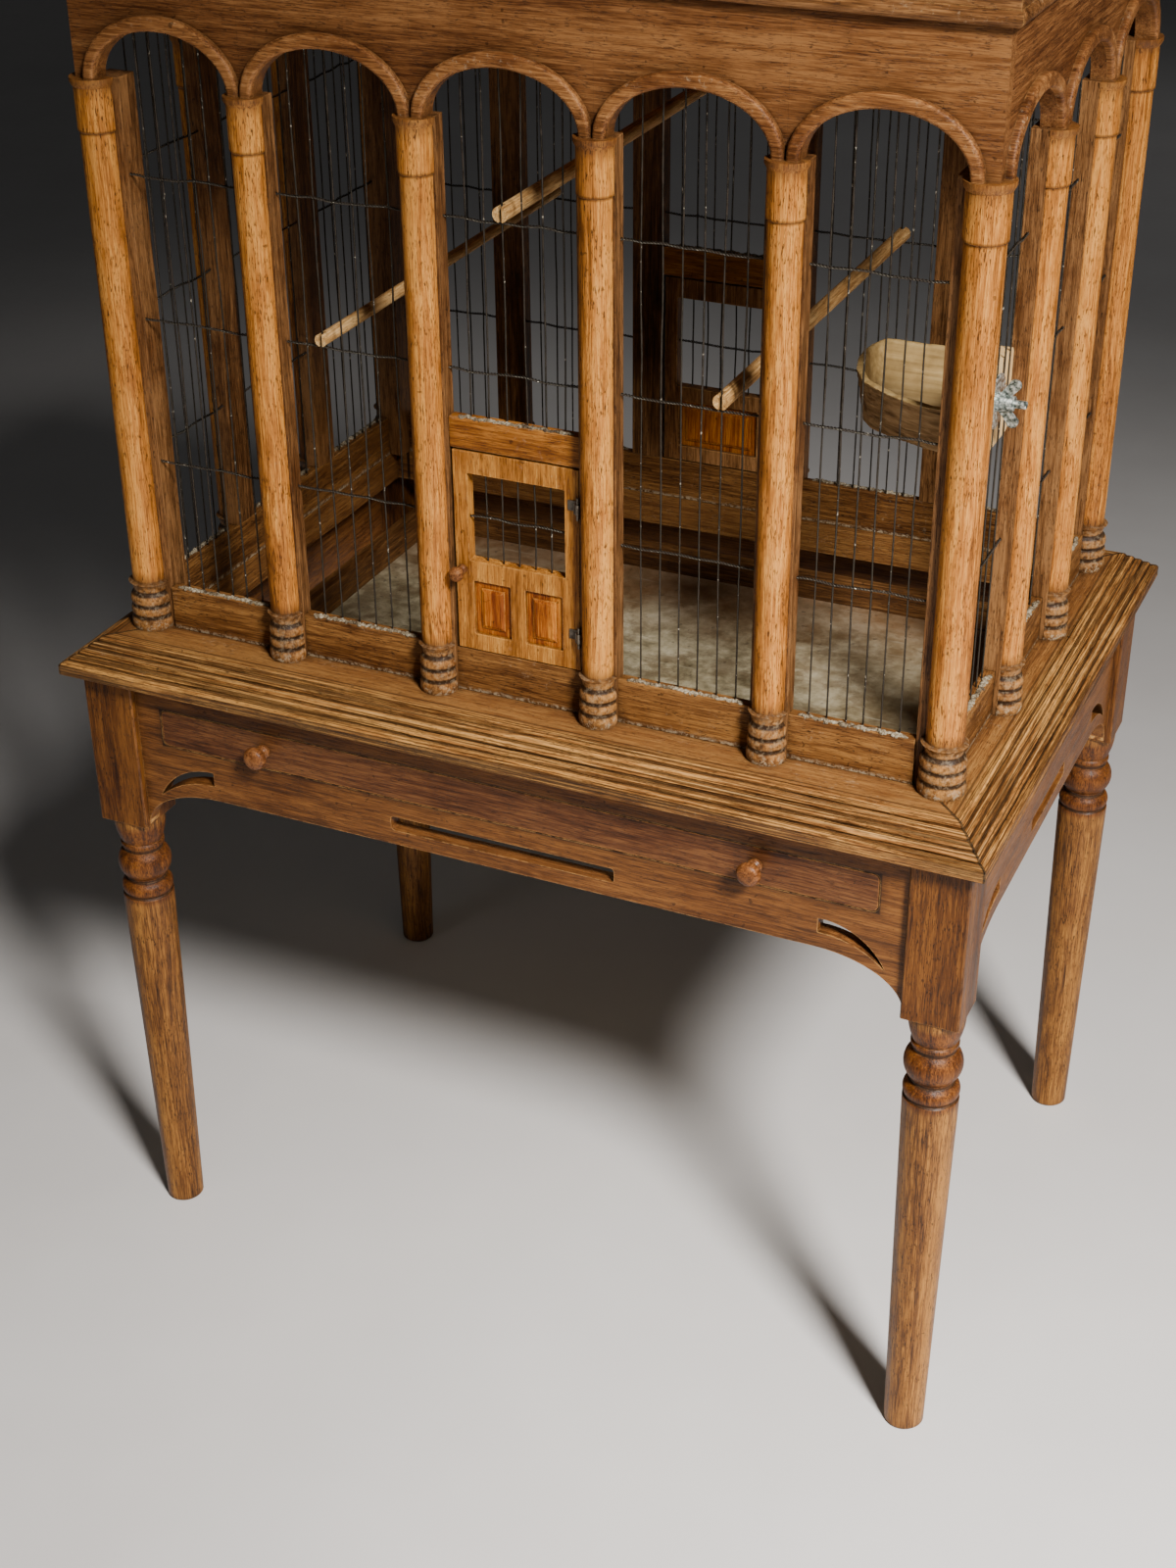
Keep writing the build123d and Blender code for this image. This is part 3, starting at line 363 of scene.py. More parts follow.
def reeded(across, edge):
    """Worn reeds parallel to the table's edge, darker between them, with a dark mitre line."""

    def marks(g, base, colour, height):
        inwards = g.absolute(g.minus(g.axis(across), edge))
        reeds = g.math("DIVIDE", inwards, REED)
        wander = g.times(g.minus(g.noise(base, 9.0, 3.0, 0.6), 0.5), 0.35)
        place = g.math("FRACT", g.plus(reeds, wander))
        middle = g.absolute(g.minus(place, 0.5))
        on_slope = g.step(reeds, REED_COUNT + 0.1, REED_COUNT + 0.6, 1.0, 0.0)
        grain = "xy"[1 - across]
        long = stretched(g, base, grain, 0.006)
        splits = g.step(g.noise(long, 760.0, 4.0, 0.7), 0.49, 0.60)
        fibres = g.noise(long, 1300.0, 2.0, 0.6)
        gap = g.times(g.step(middle, 0.40, 0.49), on_slope)
        gap = g.times(gap, g.step(g.noise(long, 90.0, 4.0, 0.7), 0.36, 0.60, 0.15, 1.0))
        pale = g.times(g.step(middle, 0.02, 0.26, 1.0, 0.0), on_slope)
        pale = g.times(pale, g.step(fibres, 0.40, 0.60))
        worn_patch = g.step(g.noise(long, 26.0, 3.0, 0.6), 0.40, 0.62, 0.25, 1.0)
        lightened = g.times(pale, worn_patch)
        colour = g.mix(g.times(lightened, 0.62), colour, srgb(206, 164, 106))
        split = g.times(splits, on_slope)
        colour = g.mix(g.times(split, 0.72), colour, srgb(64, 40, 18))
        colour = g.mix(g.times(gap, 0.62), colour, srgb(44, 26, 12))
        on_flat = g.minus(1.0, on_slope)
        colour = g.mix(g.times(on_flat, 0.55), colour, srgb(98, 62, 32))
        fringe = near_value(g, reeds, REED_COUNT + 0.7, 0.22)
        colour = g.mix(g.times(fringe, 0.7), colour, srgb(50, 30, 14))
        from_x = g.minus(TABLE_HALF_X, g.absolute(g.axis(0)))
        from_y = g.minus(TABLE_HALF_Y, g.absolute(g.axis(1)))
        mitre = near_value(g, g.minus(from_x, from_y), 0.0, 0.0022)
        colour = g.mix(g.times(mitre, 0.95), colour, srgb(24, 15, 8))
        relief = g.plus(g.times(gap, -2.2), g.times(split, -1.0))
        return colour, g.plus(height, g.plus(relief, g.times(fibres, 0.6)))

    return marks


def drawer_seam_shade_and_dirt(g, base, colour, height):
    """Painted shade and dirt round the drawer front: a dark line in the rebate and a soft darkening beyond
    it.
    """
    low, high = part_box("drawer_front")
    outside = []
    for axis in (0, 2):
        middle = (low[axis] + high[axis]) / 2
        half = (high[axis] - low[axis]) / 2
        away = g.absolute(g.minus(g.axis(axis), middle))
        outside.append(g.minus(away, half))
    distance = g.math("MAXIMUM", outside[0], outside[1])
    line = g.step(distance, 0.0010, 0.0034, 0.92, 0.0)
    soft = g.step(distance, 0.0, 0.010, 0.35, 0.0)
    return g.mix(g.math("MAXIMUM", line, soft), colour, srgb(26, 14, 6)), height


def block_tone(g, base, colour, height):
    """Redder and darker above the turning, dark in the turned necks."""
    z = g.axis(2)
    block = g.step(z, BLOCK_BOTTOM - 0.002, BLOCK_BOTTOM + 0.001)
    redder = g.mix(1.0, colour, (0.60, 0.50, 0.40, 1.0), "MULTIPLY")
    colour = g.mix(block, colour, redder)
    above = g.step(z, LEG_BEADS, LEG_BEADS + 0.007)
    beads = g.times(above, g.step(z, BLOCK_BOTTOM - 0.012, BLOCK_BOTTOM - 0.004, 1.0, 0.0))
    darker = g.mix(1.0, colour, (0.62, 0.48, 0.40, 1.0), "MULTIPLY")
    colour = g.mix(beads, colour, darker)
    for level in LEG_GROOVES:
        colour = g.mix(g.times(near_value(g, z, level, 0.0022), 0.8), colour, srgb(28, 15, 6))
    return colour, height


def steel(name, tone, rust):
    """Drawn wire gone dull, with rust patches and pale specks of dust and painted glints."""
    g = Graph(name)
    patches = g.step(g.noise(g.coords, 160.0, 4.0, 0.7), 0.42, 0.62)
    colour = g.mix(g.times(patches, rust), srgb(*tone), srgb(52, 36, 24))
    # Pale specks: dust and painted glints.
    glint_and_dust_specks = g.step(g.noise(g.coords, 190.0, 3.0, 0.6), 0.66, 0.70)
    colour = g.mix(g.times(glint_and_dust_specks, 0.8), colour, srgb(206, 198, 180))
    roughness = g.step(patches, 0.0, 1.0, 0.42, 0.75)
    metal = g.step(patches, 0.0, 1.0, 0.95, 0.95 - 0.6 * rust)
    return g.finish(colour, roughness, metal, g.noise(g.coords, 900.0, 3.0), 0.0002, 0.4)


def zinc(name):
    """Bright plated steel with a fine crystalline mottle whose palest flecks are painted glints."""
    g = Graph(name)
    mottle_and_glints = g.noise(g.coords, 330.0, 3.0, 0.6)
    # The palest stop is painted glint.
    stops = [(0.38, srgb(92, 102, 98)), (0.50, srgb(158, 168, 162)), (0.60, srgb(226, 230, 224))]
    colour = g.ramp(mottle_and_glints, stops)
    return g.finish(colour, g.step(mottle_and_glints, 0.3, 0.7, 0.24, 0.44), 0.7, mottle_and_glints, 0.0003, 0.3)


def tray_metal():
    """Old galvanised sheet: grey-green mottle, scratches, dirt stains, rust towards the back and painted
    shadow towards the right-hand end.
    """
    g = Graph("tray_metal")
    cloud = g.noise(g.coords, 11.0, 5.0, 0.65, 0.8)
    fine = g.noise(g.coords, 75.0, 5.0, 0.7)
    tone = g.plus(g.times(cloud, 0.6), g.times(fine, 0.4))
    stops = [
        (0.36, srgb(92, 80, 56)),
        (0.45, srgb(142, 130, 100)),
        (0.54, srgb(186, 174, 142)),
        (0.64, srgb(222, 212, 182)),
    ]
    colour = g.ramp(tone, stops)
    edge = g.plus(g.axis(1), g.times(g.noise(g.coords, 16.0, 4.0), 0.16))
    rust = g.step(edge, 0.14, 0.30)
    colour = g.mix(g.times(rust, 0.65), colour, srgb(126, 76, 38))
    # Painted shadow: the right-hand end darkened.
    side = g.plus(g.axis(0), g.times(cloud, 0.10))
    shade = g.step(side, 0.14, 0.34, 0.0, 0.62)
    colour = g.mix(shade, colour, srgb(96, 76, 50))
    stains = g.step(g.noise(g.coords, 26.0, 6.0, 0.75), 0.48, 0.62)
    colour = g.mix(g.times(stains, 0.55), colour, srgb(104, 82, 54))
    scratches = g.step(g.noise(g.mapped((0.05, 1.0, 1.0), turn=(0, 0, 0.5)), 240.0, 2.0), 0.66, 0.72)
    colour = g.mix(g.times(scratches, 0.35), colour, srgb(178, 172, 150))
    drops = g.step(g.noise(g.coords, 130.0, 2.0, 0.5), 0.68, 0.74)
    colour = g.mix(g.times(drops, 0.5), colour, srgb(52, 40, 28))
    roughness = g.step(fine, 0.3, 0.7, 0.42, 0.62)
    return g.finish(colour, roughness, 0.0, fine, 0.0006, 0.25)


def putty():
    """Crumbling grey-cream filler, dirty in its hollows."""
    g = Graph("old_filler")
    crumbs = g.noise(g.coords, 420.0, 5.0, 0.75)
    patches = g.noise(g.coords, 60.0, 3.0, 0.6)
    tone = g.plus(g.times(crumbs, 0.6), g.times(patches, 0.4))
    stops = [(0.40, srgb(62, 48, 34)), (0.49, srgb(118, 104, 82)), (0.60, srgb(176, 164, 140))]
    colour = g.ramp(tone, stops)
    return g.finish(colour, 0.85, height=crumbs, depth=0.001, strength=0.8, specular=0.2)


def bark():
    """Dry bark outside, brown with dark cracks running along the log."""
    g = Graph("dry_bark")
    along = g.mapped((0.10, 0.5, 1.0))
    ridges = g.noise(along, 210.0, 4.0, 0.65, 0.5)
    plates = g.noise(g.coords, 34.0, 4.0, 0.6)
    tone = g.plus(g.times(ridges, 0.65), g.times(plates, 0.35))
    stops = [
        (0.36, srgb(40, 27, 15)),
        (0.43, srgb(112, 84, 52)),
        (0.53, srgb(148, 116, 76)),
        (0.66, srgb(172, 140, 98)),
    ]
    colour = g.ramp(tone, stops)
    return g.finish(colour, 0.82, height=tone, depth=0.0025, strength=0.8, specular=0.2)


def cream_wood(name, tones, grain, stain_and_shade=0.0):
    """Bare split wood with faint grain, darkened towards the bottom of the hollow if asked: painted shadow
    in the cup.
    """
    g = Graph(name)
    along = stretched(g, g.coords, grain, 0.06)
    lines = g.noise(along, 230.0, 4.0, 0.6)
    soft = g.noise(g.coords, 30.0, 4.0, 0.6)
    tone = g.plus(g.times(lines, 0.4), g.times(soft, 0.6))
    colour = g.ramp(tone, [(place, srgb(*stop)) for place, stop in zip((0.36, 0.5, 0.64), tones)])
    floor_z, top_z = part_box("feeder_cup")[0][2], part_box("feeder_cup")[1][2]
    # Painted shadow: darker towards the bottom of the cup.
    depth = g.step(g.axis(2), floor_z + 0.007, top_z - 0.012, stain_and_shade, 0.0)
    colour = g.mix(depth, colour, srgb(66, 48, 24))
    return g.finish(colour, 0.7, height=lines, depth=0.0008, strength=0.3, specular=0.25)


def pale_floor():
    """Plain pale grey floor with the faintest mottle."""
    g = Graph("pale_floor")
    cloud = g.noise(g.coords, 1.6, 4.0, 0.6)
    fine = g.noise(g.coords, 60.0, 3.0, 0.6)
    colour = g.ramp(cloud, [(0.3, srgb(196, 192, 190)), (0.7, srgb(208, 205, 203))])
    roughness = g.step(fine, 0.3, 0.7, 0.42, 0.52)
    return g.finish(colour, roughness, height=fine, depth=0.0006, strength=0.15)


# ------------------------------------------------------------------ dressing the frame's own nodes


def dress(node, material, bevel=0.0006):
    """Give a frame node its material and slightly worn edges."""
    obj = NODES[node]
    if not obj.material_slots:
        obj.data.materials.append(material)
    for item in obj.material_slots:
        item.material = material
    if bevel:
        weld = obj.modifiers.new("weld", "WELD")
        weld.merge_threshold = MERGE
        edge = obj.modifiers.new("worn_edges", "BEVEL")
        edge.width = bevel
        edge.segments = 2
        edge.limit_method = "ANGLE"
        edge.angle_limit = math.radians(WORN_ANGLE)
        edge.use_clamp_overlap = True
        obj.modifiers.new("normals", "WEIGHTED_NORMAL")


def dress_stand():
    legs = {"front_left": 0.3, "front_right": 1.1, "back_left": 2.2, "back_right": 3.4}
    for name, offset in legs.items():
        look = {"fleck": 0.8, "rough": 0.42, "edge_wear_and_highlight": 0.3, "figure_size": 34.0, "extra": block_tone}
        leg = wood("leg_wood_" + name, LEG, "z", offset, **look)
        dress("leg_" + name, leg)
    edges = {
        "front": ("x", 0.7, 1, -TABLE_HALF_Y),
        "back": ("x", 1.9, 1, TABLE_HALF_Y),
        "left": ("y", 2.6, 0, -TABLE_HALF_X),
        "right": ("y", 3.3, 0, TABLE_HALF_X),
    }
    for side, (grain, offset, across, edge) in edges.items():
        seam = drawer_seam_shade_and_dirt if side == "front" else None
        look = {"fleck": 0.4, "rough": 0.40, "edge_wear_and_highlight": 0.7, "figure_size": 40.0, "extra": seam}
        apron = wood("apron_wood_" + side, APRON, grain, offset, **look)
        dress("apron_" + side, apron)
        look = {"fleck": 0.5, "rough": 0.52, "relief": 1.0, "stain": 0.35, "dust": 0.25, "edge_wear_and_highlight": 0.3}
        top = wood("table_wood_" + side, TABLE, grain, offset + 0.2, extra=reeded(across, edge), **look)
        dress("table_moulding_" + side, top, 0.0004)
    dress("drawer_runners", wood("runner_wood", WALNUT, "y", 0.4))


def dress_drawer():
    look = {"fleck": 0.5, "rough": 0.36, "edge_wear_and_highlight": 1.0, "edge_wear_and_highlight_tone": (176, 120, 64)}
    front = wood("drawer_front_wood", DRAWER, "x", 5.1, **look)
    dress("drawer_front", front, 0.0022)
    dress("drawer_sides", wood("drawer_side_wood", WALNUT, "y", 5.7))
    dress("drawer_back", wood("drawer_back_wood", WALNUT, "x", 6.3))
    dress("drawer_tray", tray_metal(), 0)
    dress("drawer_knobs", wood("knob_wood", KNOB, "y", 6.9, fleck=0.6, rough=0.30, stain=0.8, edge_wear_and_highlight=0.5))


def dress_cage():
    for name, offset in (("front_and_back", 7.3), ("left_and_right", 8.1), ("corner", 8.9)):
        look = {"fleck": 0.9, "rough": 0.48, "stain": 0.4, "dust": 0.1, "extra": turned_dirt_and_shade}
        column = wood("column_wood_" + name, HONEY, "z", offset, **look)
        dress("columns_" + name, column, 0.0005)
        post = wood("post_wood_" + name, POST, "z", offset + 0.4, fleck=0.6, stain=0.8, edge_wear_and_highlight=0.3)
        dress("posts_" + name, post)
    sides = (("front", "x", 9.2), ("back", "x", 9.9), ("left", "y", 10.4), ("right", "y", 11.1))
    for side, grain, offset in sides:
        look = {"fleck": 0.8, "dust": 0.3, "edge_wear_and_highlight": 0.6, "extra": foot_dust}
        rail = wood("rail_wood_" + side, RAIL, grain, offset, **look)
        dress("base_rail_" + side, rail, 0.0008)
        frieze = wood("frieze_wood_" + side, FRIEZE, grain, offset + 3, fleck=0.6, rough=0.38)
        dress("frieze_" + side, frieze, 0)
    beads = wood("bead_wood", BEAD, "x", 12.5, dust=0.5, stain=0.8, edge_wear_and_highlight=0.5)
    dress("arch_beads", beads, 0)
    dress("cornice", wood("cornice_wood", TEAK, "x", 13.1, fleck=0.6, dust=0.5, edge_wear_and_highlight=0.7))
    dress("roof_board", wood("roof_wood", TEAK, "x", 13.9, fleck=0.6))
    dress("door_head_rails", wood("head_rail_wood", HEAD_RAIL, "x", 14.4, dust=0.3, edge_wear_and_highlight=0.5))
    for name, offset in (("left", 15.0), ("middle", 15.6), ("right", 16.2)):
        perch = wood("perch_wood_" + name, BUFF, "y", offset, fleck=0.5, rough=0.6, stain=0.6)
        dress("perch_" + name, perch)


def dress_doors(hardware):
    tones = {"front": GOLDEN, "back": TEAK}
    for side in ("front", "back"):
        look = {"fleck": 0.5, "dust": 0.2, "edge_wear_and_highlight": 0.8, "edge_wear_and_highlight_tone": (212, 160, 92)}
        leaf = wood(side + "_door_wood", tones[side], "z", 17.0, **look)
        dress(side + "_door_frame", leaf, 0.0008)
        look = {"fleck": 0.3, "rough": 0.4, "edge_wear_and_highlight": 0.9, "edge_wear_and_highlight_tone": (220, 162, 84)}
        panel = wood(side + "_panel_wood", PANEL, "z", 18.2, **look)
        dress(side + "_door_panels", panel)
        raised_fields(side + "_door_panels", side + "_door", panel)
        dress(side + "_door_knob", wood(side + "_door_knob_wood", KNOB, "y", 19.0, fleck=0.4))
        dress(side + "_door_eyes", hardware, 0)
    dress("door_hinge_pins", hardware, 0)


def raised_fields(node, body, material):
    """A bevelled field on both faces of every door panel."""
    bm = bmesh.new()
    profile = (
        (FIELD_BORDER, -0.0002),
        (FIELD_BORDER + 0.0004, FIELD_RISE * 0.5),
        (FIELD_BORDER + FIELD_SLOPE, FIELD_RISE),
    )
    for low, high in solids(node):
        for sign, face in ((-1, low.y), (1, high.y)):
            rings = []
            for inset, rise in profile:
                x0, x1, z0, z1 = low.x + inset, high.x - inset, low.z + inset, high.z - inset
                y = face + sign * rise
                corners = ((x0, y, z0), (x1, y, z0), (x1, y, z1), (x0, y, z1))
                rings.append([bm.verts.new(place) for place in corners])
            for inner, outer in zip(rings[1:], rings):
                for k in range(4):
                    bm.faces.new((outer[k], outer[(k + 1) % 4], inner[(k + 1) % 4], inner[k]))
            bm.faces.new(rings[-1])
    bmesh.ops.recalc_face_normals(bm, faces=bm.faces)
    obj = mesh_object("fields_" + node, bm, material, smooth=False)
    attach(obj, body)


# ------------------------------------------------------------------ measuring the frame's solids


def solids(node):
    """The box of each separate solid of a frame node, as (low, high) vectors."""
    bm = bmesh.new()
    bm.from_mesh(NODES[node].data)
    bmesh.ops.remove_doubles(bm, verts=bm.verts, dist=MERGE)
    seen = set()
    boxes = []
    for start in bm.verts:
        if start in seen:
            continue
        low, high = start.co.copy(), start.co.copy()
        stack = [start]
        seen.add(start)
        while stack:
            vert = stack.pop()
            for k in range(3):
                low[k] = min(low[k], vert.co[k])
                high[k] = max(high[k], vert.co[k])
            for edge in vert.link_edges:
                other = edge.other_vert(vert)
                if other not in seen:
                    seen.add(other)
                    stack.append(other)
        boxes.append((low, high))
    bm.free()
    return sorted(boxes, key=lambda box: (round(box[0].x, 4), round(box[0].y, 4), round(box[0].z, 4)))


def cross_levels(node, low, along):
    """Heights of a bay's cross wires, read from their ends at the bay's side."""
    ends = sorted(v.co.z for v in NODES[node].data.vertices if abs(v.co[along] - low[along]) < 0.00005)
    levels = []
    for z in ends:
        if not levels or z - levels[-1][-1] > 0.01:
            levels.append([])
        levels[-1].append(z)
    return [(group[0] + group[-1]) / 2 for group in levels]


# ------------------------------------------------------------------ wires


def new_curve(name, radius):
    """An empty round-section curve to hang wires on."""
    curve = bpy.data.curves.new(name, "CURVE")
    curve.dimensions = "3D"
    curve.bevel_depth = radius
    curve.bevel_resolution = 1
    curve.use_fill_caps = True
    obj = bpy.data.objects.new(name, curve)
    bpy.context.scene.collection.objects.link(obj)
    return obj


def add_strand(curve, points, thickness=1.0):
    spline = curve.data.splines.new("POLY")
    spline.points.add(len(points) - 1)
    for point, place in zip(spline.points, points):
        point.co = (*place, 1.0)
        point.radius = thickness


def upright_points(rng, x, y, low, high, along, sway):
    """A hand-straightened wire: nearly upright, with a few soft kinks."""
    count = max(3, int((high - low) / 0.02))
    phase = rng.uniform(0, 6.28)
    waves = rng.uniform(1.5, 3.5)
    kink = rng.uniform(0.2, 0.8)
    bow = rng.uniform(-1, 1) * sway
    points = []
    for k in range(count + 1):
        t = k / count
        shift = bow * math.sin(math.pi * t)
        shift += 0.35 * sway * math.sin(phase + waves * 6.28 * t) * math.sin(math.pi * t)
        shift += 0.4 * sway * max(0.0, 1 - abs(t - kink) * 9) * rng.choice((-1, 1)) * 0.6
        lean = 0.4 * sway * math.sin(phase * 2 + 5 * t) * math.sin(math.pi * t)
        place = [x, y, low + (high - low) * t]
        place[along] += shift
        place[1 - along] += lean
        points.append(place)
    return points


def twisted_pair(curve, rng, start, end, along, across, plane, z):
    """Two thin strands wound round each other from one side of a bay to the other."""
    turns = (end - start) / TWIST_PITCH
    steps = int(turns * TWIST_STEPS)
    phase = rng.uniform(0, 6.28)
    sag = [rng.uniform(-TWIST_SAG, TWIST_SAG) for _ in range(8)]
    for strand in (0, 1):
        points = []
        for k in range(steps + 1):
            t = k / steps
            place = [0.0, 0.0, 0.0]
            angle = phase + math.pi * strand + 2 * math.pi * turns * t
            cell = t * (len(sag) - 1)
            i = min(int(cell), len(sag) - 2)
            drop = sag[i] + (sag[i + 1] - sag[i]) * (cell - i)
            drop *= min(1.0, 8 * t, 8 * (1 - t))
            place[along] = start + (end - start) * t
            place[across] = plane + TWIST_R * math.cos(angle)
            place[2] = z + drop + TWIST_R * math.sin(angle)
            points.append(place)
        add_strand(curve, points, 0.72)


def wire_wall(node, material, seed):
    """Every bay of a wall re-strung with slightly bent uprights and twisted cross wires."""
    low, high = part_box(node)
    along = 0 if high[0] - low[0] > high[1] - low[1] else 1
    across = 1 - along
    outward = 1 if low[across] > 0 else -1
    rng = random.Random(seed)
    curve = new_curve("strung_" + node, WIRE_R)
    bays = [box for box in solids(node) if box[1].z - box[0].z > 0.05]
    for bay_low, bay_high in bays:
        plane = (bay_low[across] + WIRE_R) if outward > 0 else (bay_high[across] - WIRE_R)
        gap = (bay_high[along] - bay_low[along]) / (WIRES_PER_BAY + 1)
        for k in range(WIRES_PER_BAY):
            place = [0.0, 0.0]
            place[along] = bay_low[along] + (k + 1) * gap + rng.uniform(-0.0006, 0.0006)
            place[across] = plane
            bottom = bay_low.z - 0.001
            points = upright_points(rng, *place, bottom, bay_high.z, along, UPRIGHT_SWAY)
            add_strand(curve, points)
        for z in cross_levels(node, bay_low, along):
            outside = plane + outward * CROSS_OUT
            twisted_pair(curve, rng, bay_low[along], bay_high[along], along, across, outside, z)
    curve.data.materials.append(material)
    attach(curve, ROOT)
    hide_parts(node)
    return bays, along, across, outward


def door_grid(node, body, material, seed):
    """A door's grille: slightly bent uprights and one twisted cross wire."""
    low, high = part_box(node)
    rng = random.Random(seed)
    curve = new_curve("strung_" + node, WIRE_R)
    outward = 1 if low[1] > 0 else -1
    plane = (low[1] + WIRE_R) if outward > 0 else (high[1] - WIRE_R)
    gap = (high[0] - low[0]) / (WIRES_PER_DOOR + 1)
    for k in range(WIRES_PER_DOOR):
        x = low[0] + (k + 1) * gap
        add_strand(curve, upright_points(rng, x, plane, low[2], high[2], 0, DOOR_SWAY))
    middle = (low[2] + high[2]) / 2
    twisted_pair(curve, rng, low[0], high[0], 0, 1, plane + outward * CROSS_OUT, middle)
    curve.data.materials.append(material)
    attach(curve, body)
    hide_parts(node)


# ------------------------------------------------------------------ filler where the wires enter the wood


def lump(bm, rng, centre, size):
    """One crumb of filler: a low, dented dome."""
    made = bmesh.ops.create_icosphere(bm, subdivisions=2, radius=1.0)
    seed = Vector((rng.uniform(0, 50), rng.uniform(0, 50), rng.uniform(0, 50)))
    for vert in made["verts"]:
        rough = 1.0 + 0.45 * noise.noise(vert.co * 1.7 + seed)
        stretched_out = Vector((vert.co.x * size[0], vert.co.y * size[1], vert.co.z * size[2]))
        vert.co = Vector(centre) + stretched_out * rough


def mesh_object(name, bm, material, smooth=True):
    """A scene object from a bmesh, which is freed."""
    mesh = bpy.data.meshes.new(name)
    bm.to_mesh(mesh)
    bm.free()
    obj = bpy.data.objects.new(name, mesh)
    bpy.context.scene.collection.objects.link(obj)
    mesh.materials.append(material)
    for polygon in mesh.polygons:
        polygon.use_smooth = smooth
    return obj


def rail_filler(node, rail, bays, along, across, outward, material, seed):
    """Crumbs of filler round each wire's foot, along the outer top edge of a rail."""
    rng = random.Random(seed)
    bm = bmesh.new()
    rail_low, rail_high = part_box(rail)
    face = rail_high[across] if outward > 0 else rail_low[across]
    for bay_low, bay_high in bays:
        foot = bay_low.z
        gap = (bay_high[along] - bay_low[along]) / (WIRES_PER_BAY + 1)
        for k in range(WIRES_PER_BAY):
            place = [0.0, 0.0, foot]
            place[along] = bay_low[along] + (k + 1) * gap
            wire_plane = (bay_low[across] + WIRE_R) if outward > 0 else (bay_high[across] - WIRE_R)
            for crumb in range(CRUMBS):
                near_wire = 1 - abs(crumb - (CRUMBS - 1) / 2) / (CRUMBS / 2)
                spot = list(place)
                spot[along] += (crumb - (CRUMBS - 1) / 2) * gap / CRUMBS + rng.uniform(-0.0006, 0.0006)
                spot[across] = wire_plane + (face - wire_plane) * rng.uniform(0.40, 0.80)
                size = [0.0, 0.0, rng.uniform(0.0008, 0.0013) + 0.0011 * near_wire]
                size[along] = rng.uniform(0.0016, 0.0026)
                size[across] = rng.uniform(0.0014, 0.0023)
                lump(bm, rng, spot, size)
    obj = mesh_object("filler_" + node, bm, material)
    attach(obj, ROOT)


# ------------------------------------------------------------------ feeder


def feeder(bark_material, cream_material):
    """The seed cup: the frame's cup remeshed, its outside broken up into bark."""
    source = NODES["feeder_cup"]
    bm = bmesh.new()
    bm.from_mesh(source.data)
    bmesh.ops.remove_doubles(bm, verts=bm.verts, dist=MERGE)
    bmesh.ops.recalc_face_normals(bm, faces=bm.faces)
    obj = mesh_object("feeder_half_log", bm, bark_material, smooth=True)
    obj.data.materials.append(cream_material)
    remesh = obj.modifiers.new("remesh", "REMESH")
    remesh.mode = "VOXEL"
    remesh.voxel_size = VOXEL
    bpy.context.view_layer.update()
    depsgraph = bpy.context.evaluated_depsgraph_get()
    fine = bpy.data.meshes.new_from_object(obj.evaluated_get(depsgraph))
    obj.modifiers.clear()
    obj.data = fine
    low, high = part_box("feeder_cup")
    rim = high[2]
    centre = Vector(((low[0] + high[0]) / 2 + 0.012, (low[1] + high[1]) / 2 + 0.006, 0))
    fine.materials.clear()
    fine.materials.append(bark_material)
    fine.materials.append(cream_material)
    normals = [vert.normal.copy() for vert in fine.vertices]
    for vert, normal in zip(fine.vertices, normals):
        outwards = Vector((vert.co.x - centre.x, vert.co.y - centre.y, 0)).dot(normal) > 0
        if outwards and vert.co.x < high[0] - 0.004:
            p = vert.co
            ridges = noise.noise(Vector((p.x * 90, p.y * 30, p.z * 420)))
            plates = noise.noise(Vector((p.x * 40, p.y * 40, p.z * 60)))
            cut = 0.0006 + 0.0011 * max(0.0, 0.4 + ridges) + 0.0008 * max(0.0, plates)
            vert.co = p - normal * cut
        elif vert.co.z > rim - 0.001:
            vert.co.z -= 0.0012 * max(0.0, noise.noise(vert.co * 130))
    for polygon in fine.polygons:
        mid = polygon.center
        facing_in = Vector((mid.x - centre.x, mid.y - centre.y, 0)).dot(polygon.normal) < 0
        polygon.material_index = 1 if facing_in or mid.z > rim - 0.0022 else 0
        polygon.use_smooth = True
    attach(obj, ROOT)
    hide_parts("feeder_cup")


# ------------------------------------------------------------------ stage, light and camera


def stage():
    """The plain pale floor."""
    bm = bmesh.new()
    bmesh.ops.create_grid(bm, x_segments=1, y_segments=1, size=14.0)
    floor = mesh_object("floor", bm, pale_floor(), smooth=False)


def aim(obj, target):
    direction = Vector(target) - obj.location
    obj.rotation_euler = direction.to_track_quat("-Z", "Y").to_euler()


def area_light(name, place, target, size, power, tone, spread):
    """A round lamp aimed at a point; spread is in degrees."""
    light = bpy.data.lights.new(name, "AREA")
    light.shape = "DISK"
    light.size = size
    light.energy = power
    light.color = tone
    light.spread = math.radians(spread)
    obj = bpy.data.objects.new(name, light)
    obj.location = place
    bpy.context.scene.collection.objects.link(obj)
    aim(obj, target)


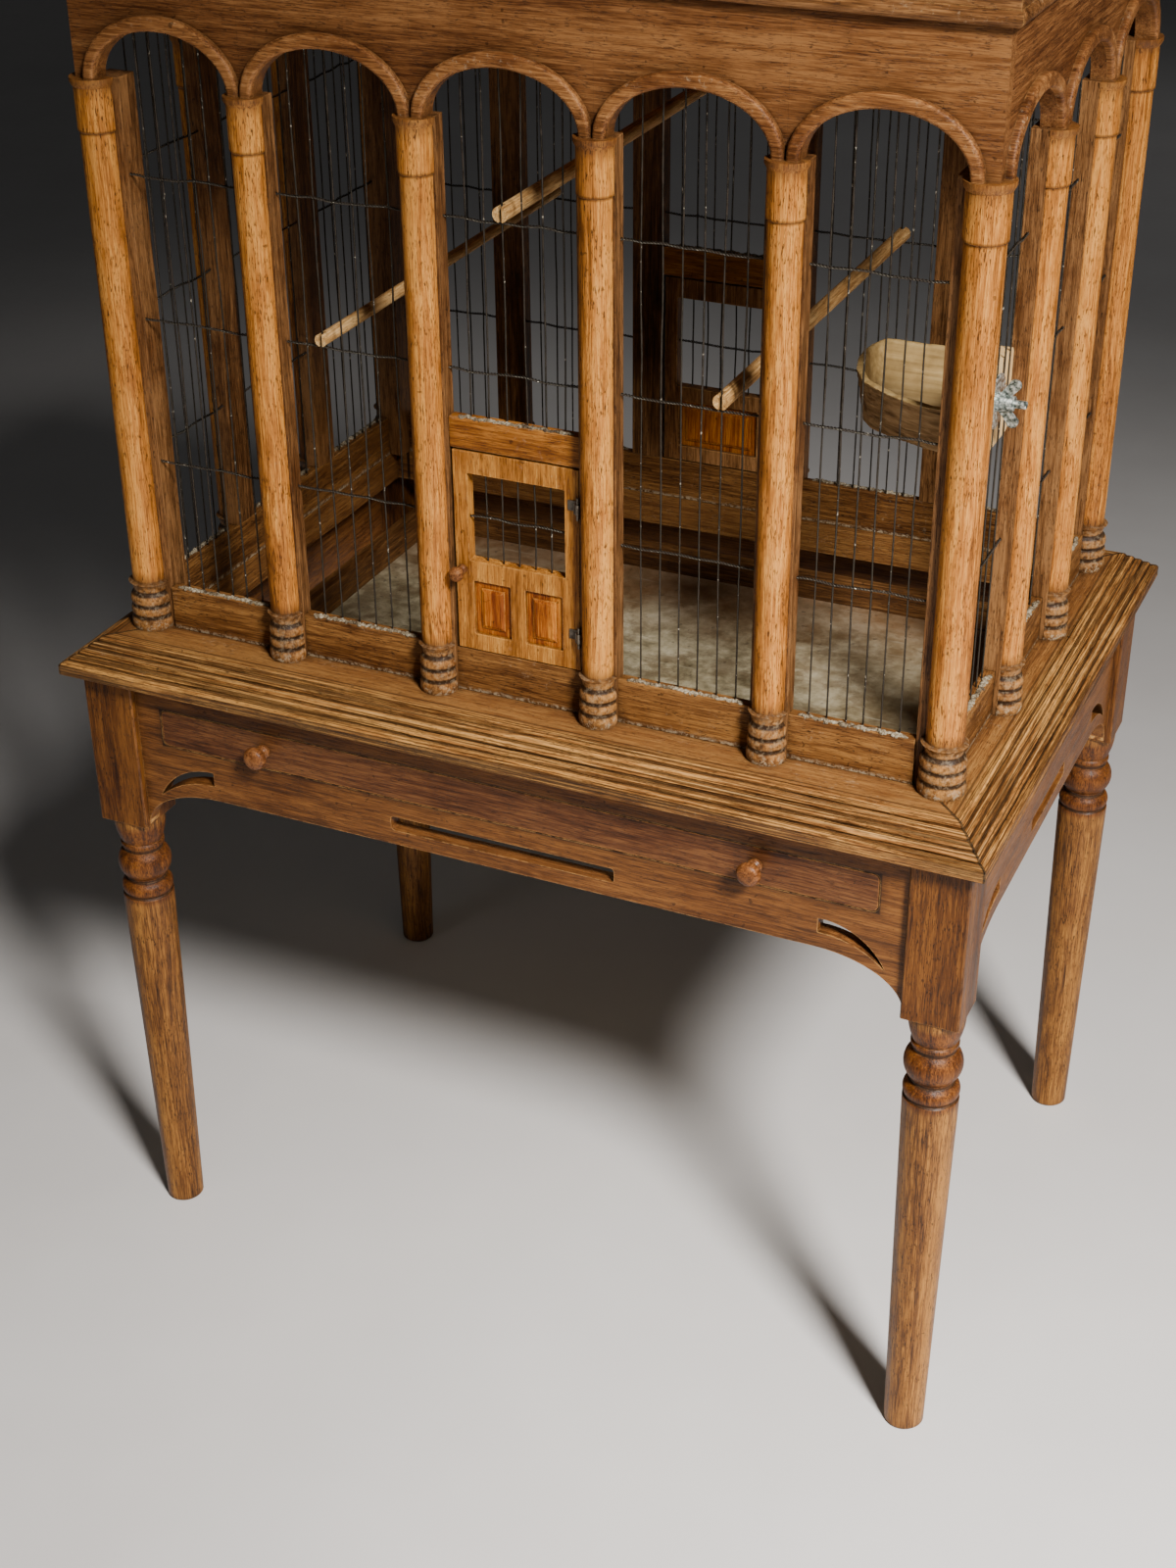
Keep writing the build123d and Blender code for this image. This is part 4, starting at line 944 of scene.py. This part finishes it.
def lighting():
    """One bright lamp from the front right, a faint one from the left and one for the floor behind."""
    area_light("key", (2.35, -2.15, 3.2), (0.98, -0.80, 0.0), 0.85, 84, (1.0, 0.97, 0.93), 62)
    area_light("fill", (-1.4, -2.4, 1.9), (0.0, 0.0, 0.6), 1.6, 0.6, (1.0, 0.98, 0.95), 70)
    area_light("behind", (0.5, 4.4, 2.6), (-0.1, 3.2, 0.0), 1.2, 1.2, (1.0, 1.0, 1.0), 80)
    world = bpy.data.worlds.new("studio")
    world.use_nodes = True
    background = world.node_tree.nodes["Background"]
    background.inputs[0].default_value = (0.90, 0.90, 0.90, 1.0)
    background.inputs[1].default_value = 0.032
    bpy.context.scene.world = world


def camera():
    """A standing photographer's view from the front right, looking down."""
    azimuth, pitch, roll = (math.radians(angle) for angle in CAMERA_ANGLES)
    level_reach = math.cos(pitch)
    forward = Vector((math.sin(azimuth) * level_reach, math.cos(azimuth) * level_reach, -math.sin(pitch)))
    level = Vector((math.cos(azimuth), -math.sin(azimuth), 0))
    over = level.cross(forward)
    right = math.cos(roll) * level + math.sin(roll) * over
    up = math.cos(roll) * over - math.sin(roll) * level
    turn = Matrix((right, up, -forward)).transposed()
    data = bpy.data.cameras.new("view")
    data.sensor_width = 36.0
    data.lens = CAMERA_LENS
    data.clip_end = 60.0
    obj = bpy.data.objects.new("view", data)
    obj.matrix_world = Matrix.Translation(CAMERA_PLACE) @ turn.to_4x4()
    bpy.context.scene.collection.objects.link(obj)
    bpy.context.scene.camera = obj


# ------------------------------------------------------------------ the whole object

wire_steel = steel("wire_steel", (74, 70, 62), 0.55)
hinge_steel = steel("hinge_steel", (120, 112, 100), 0.7)
filler = putty()

dress_stand()
dress_drawer()
dress_cage()
dress_doors(hinge_steel)
for fitting in ("feeder_bolt", "feeder_washer", "feeder_wing_nut"):
    dress(fitting, zinc("zinc_" + fitting), 0.0003)
dress("feeder_board", cream_wood("pale_ply", PALE_PLY, "z"), 0.0008)
feeder(bark(), cream_wood("bare_split_wood", HOLLOW, "x", 0.75))
for number, wall in enumerate(("front", "back", "left", "right")):
    bays, along, across, outward = wire_wall("wires_" + wall, wire_steel, 40 + number)
    rail_filler(wall, "base_rail_" + wall, bays, along, across, outward, filler, 60 + number)
door_grid("front_door_wires", "front_door", wire_steel, 51)
door_grid("back_door_wires", "back_door", wire_steel, 52)
stage()
lighting()
camera()
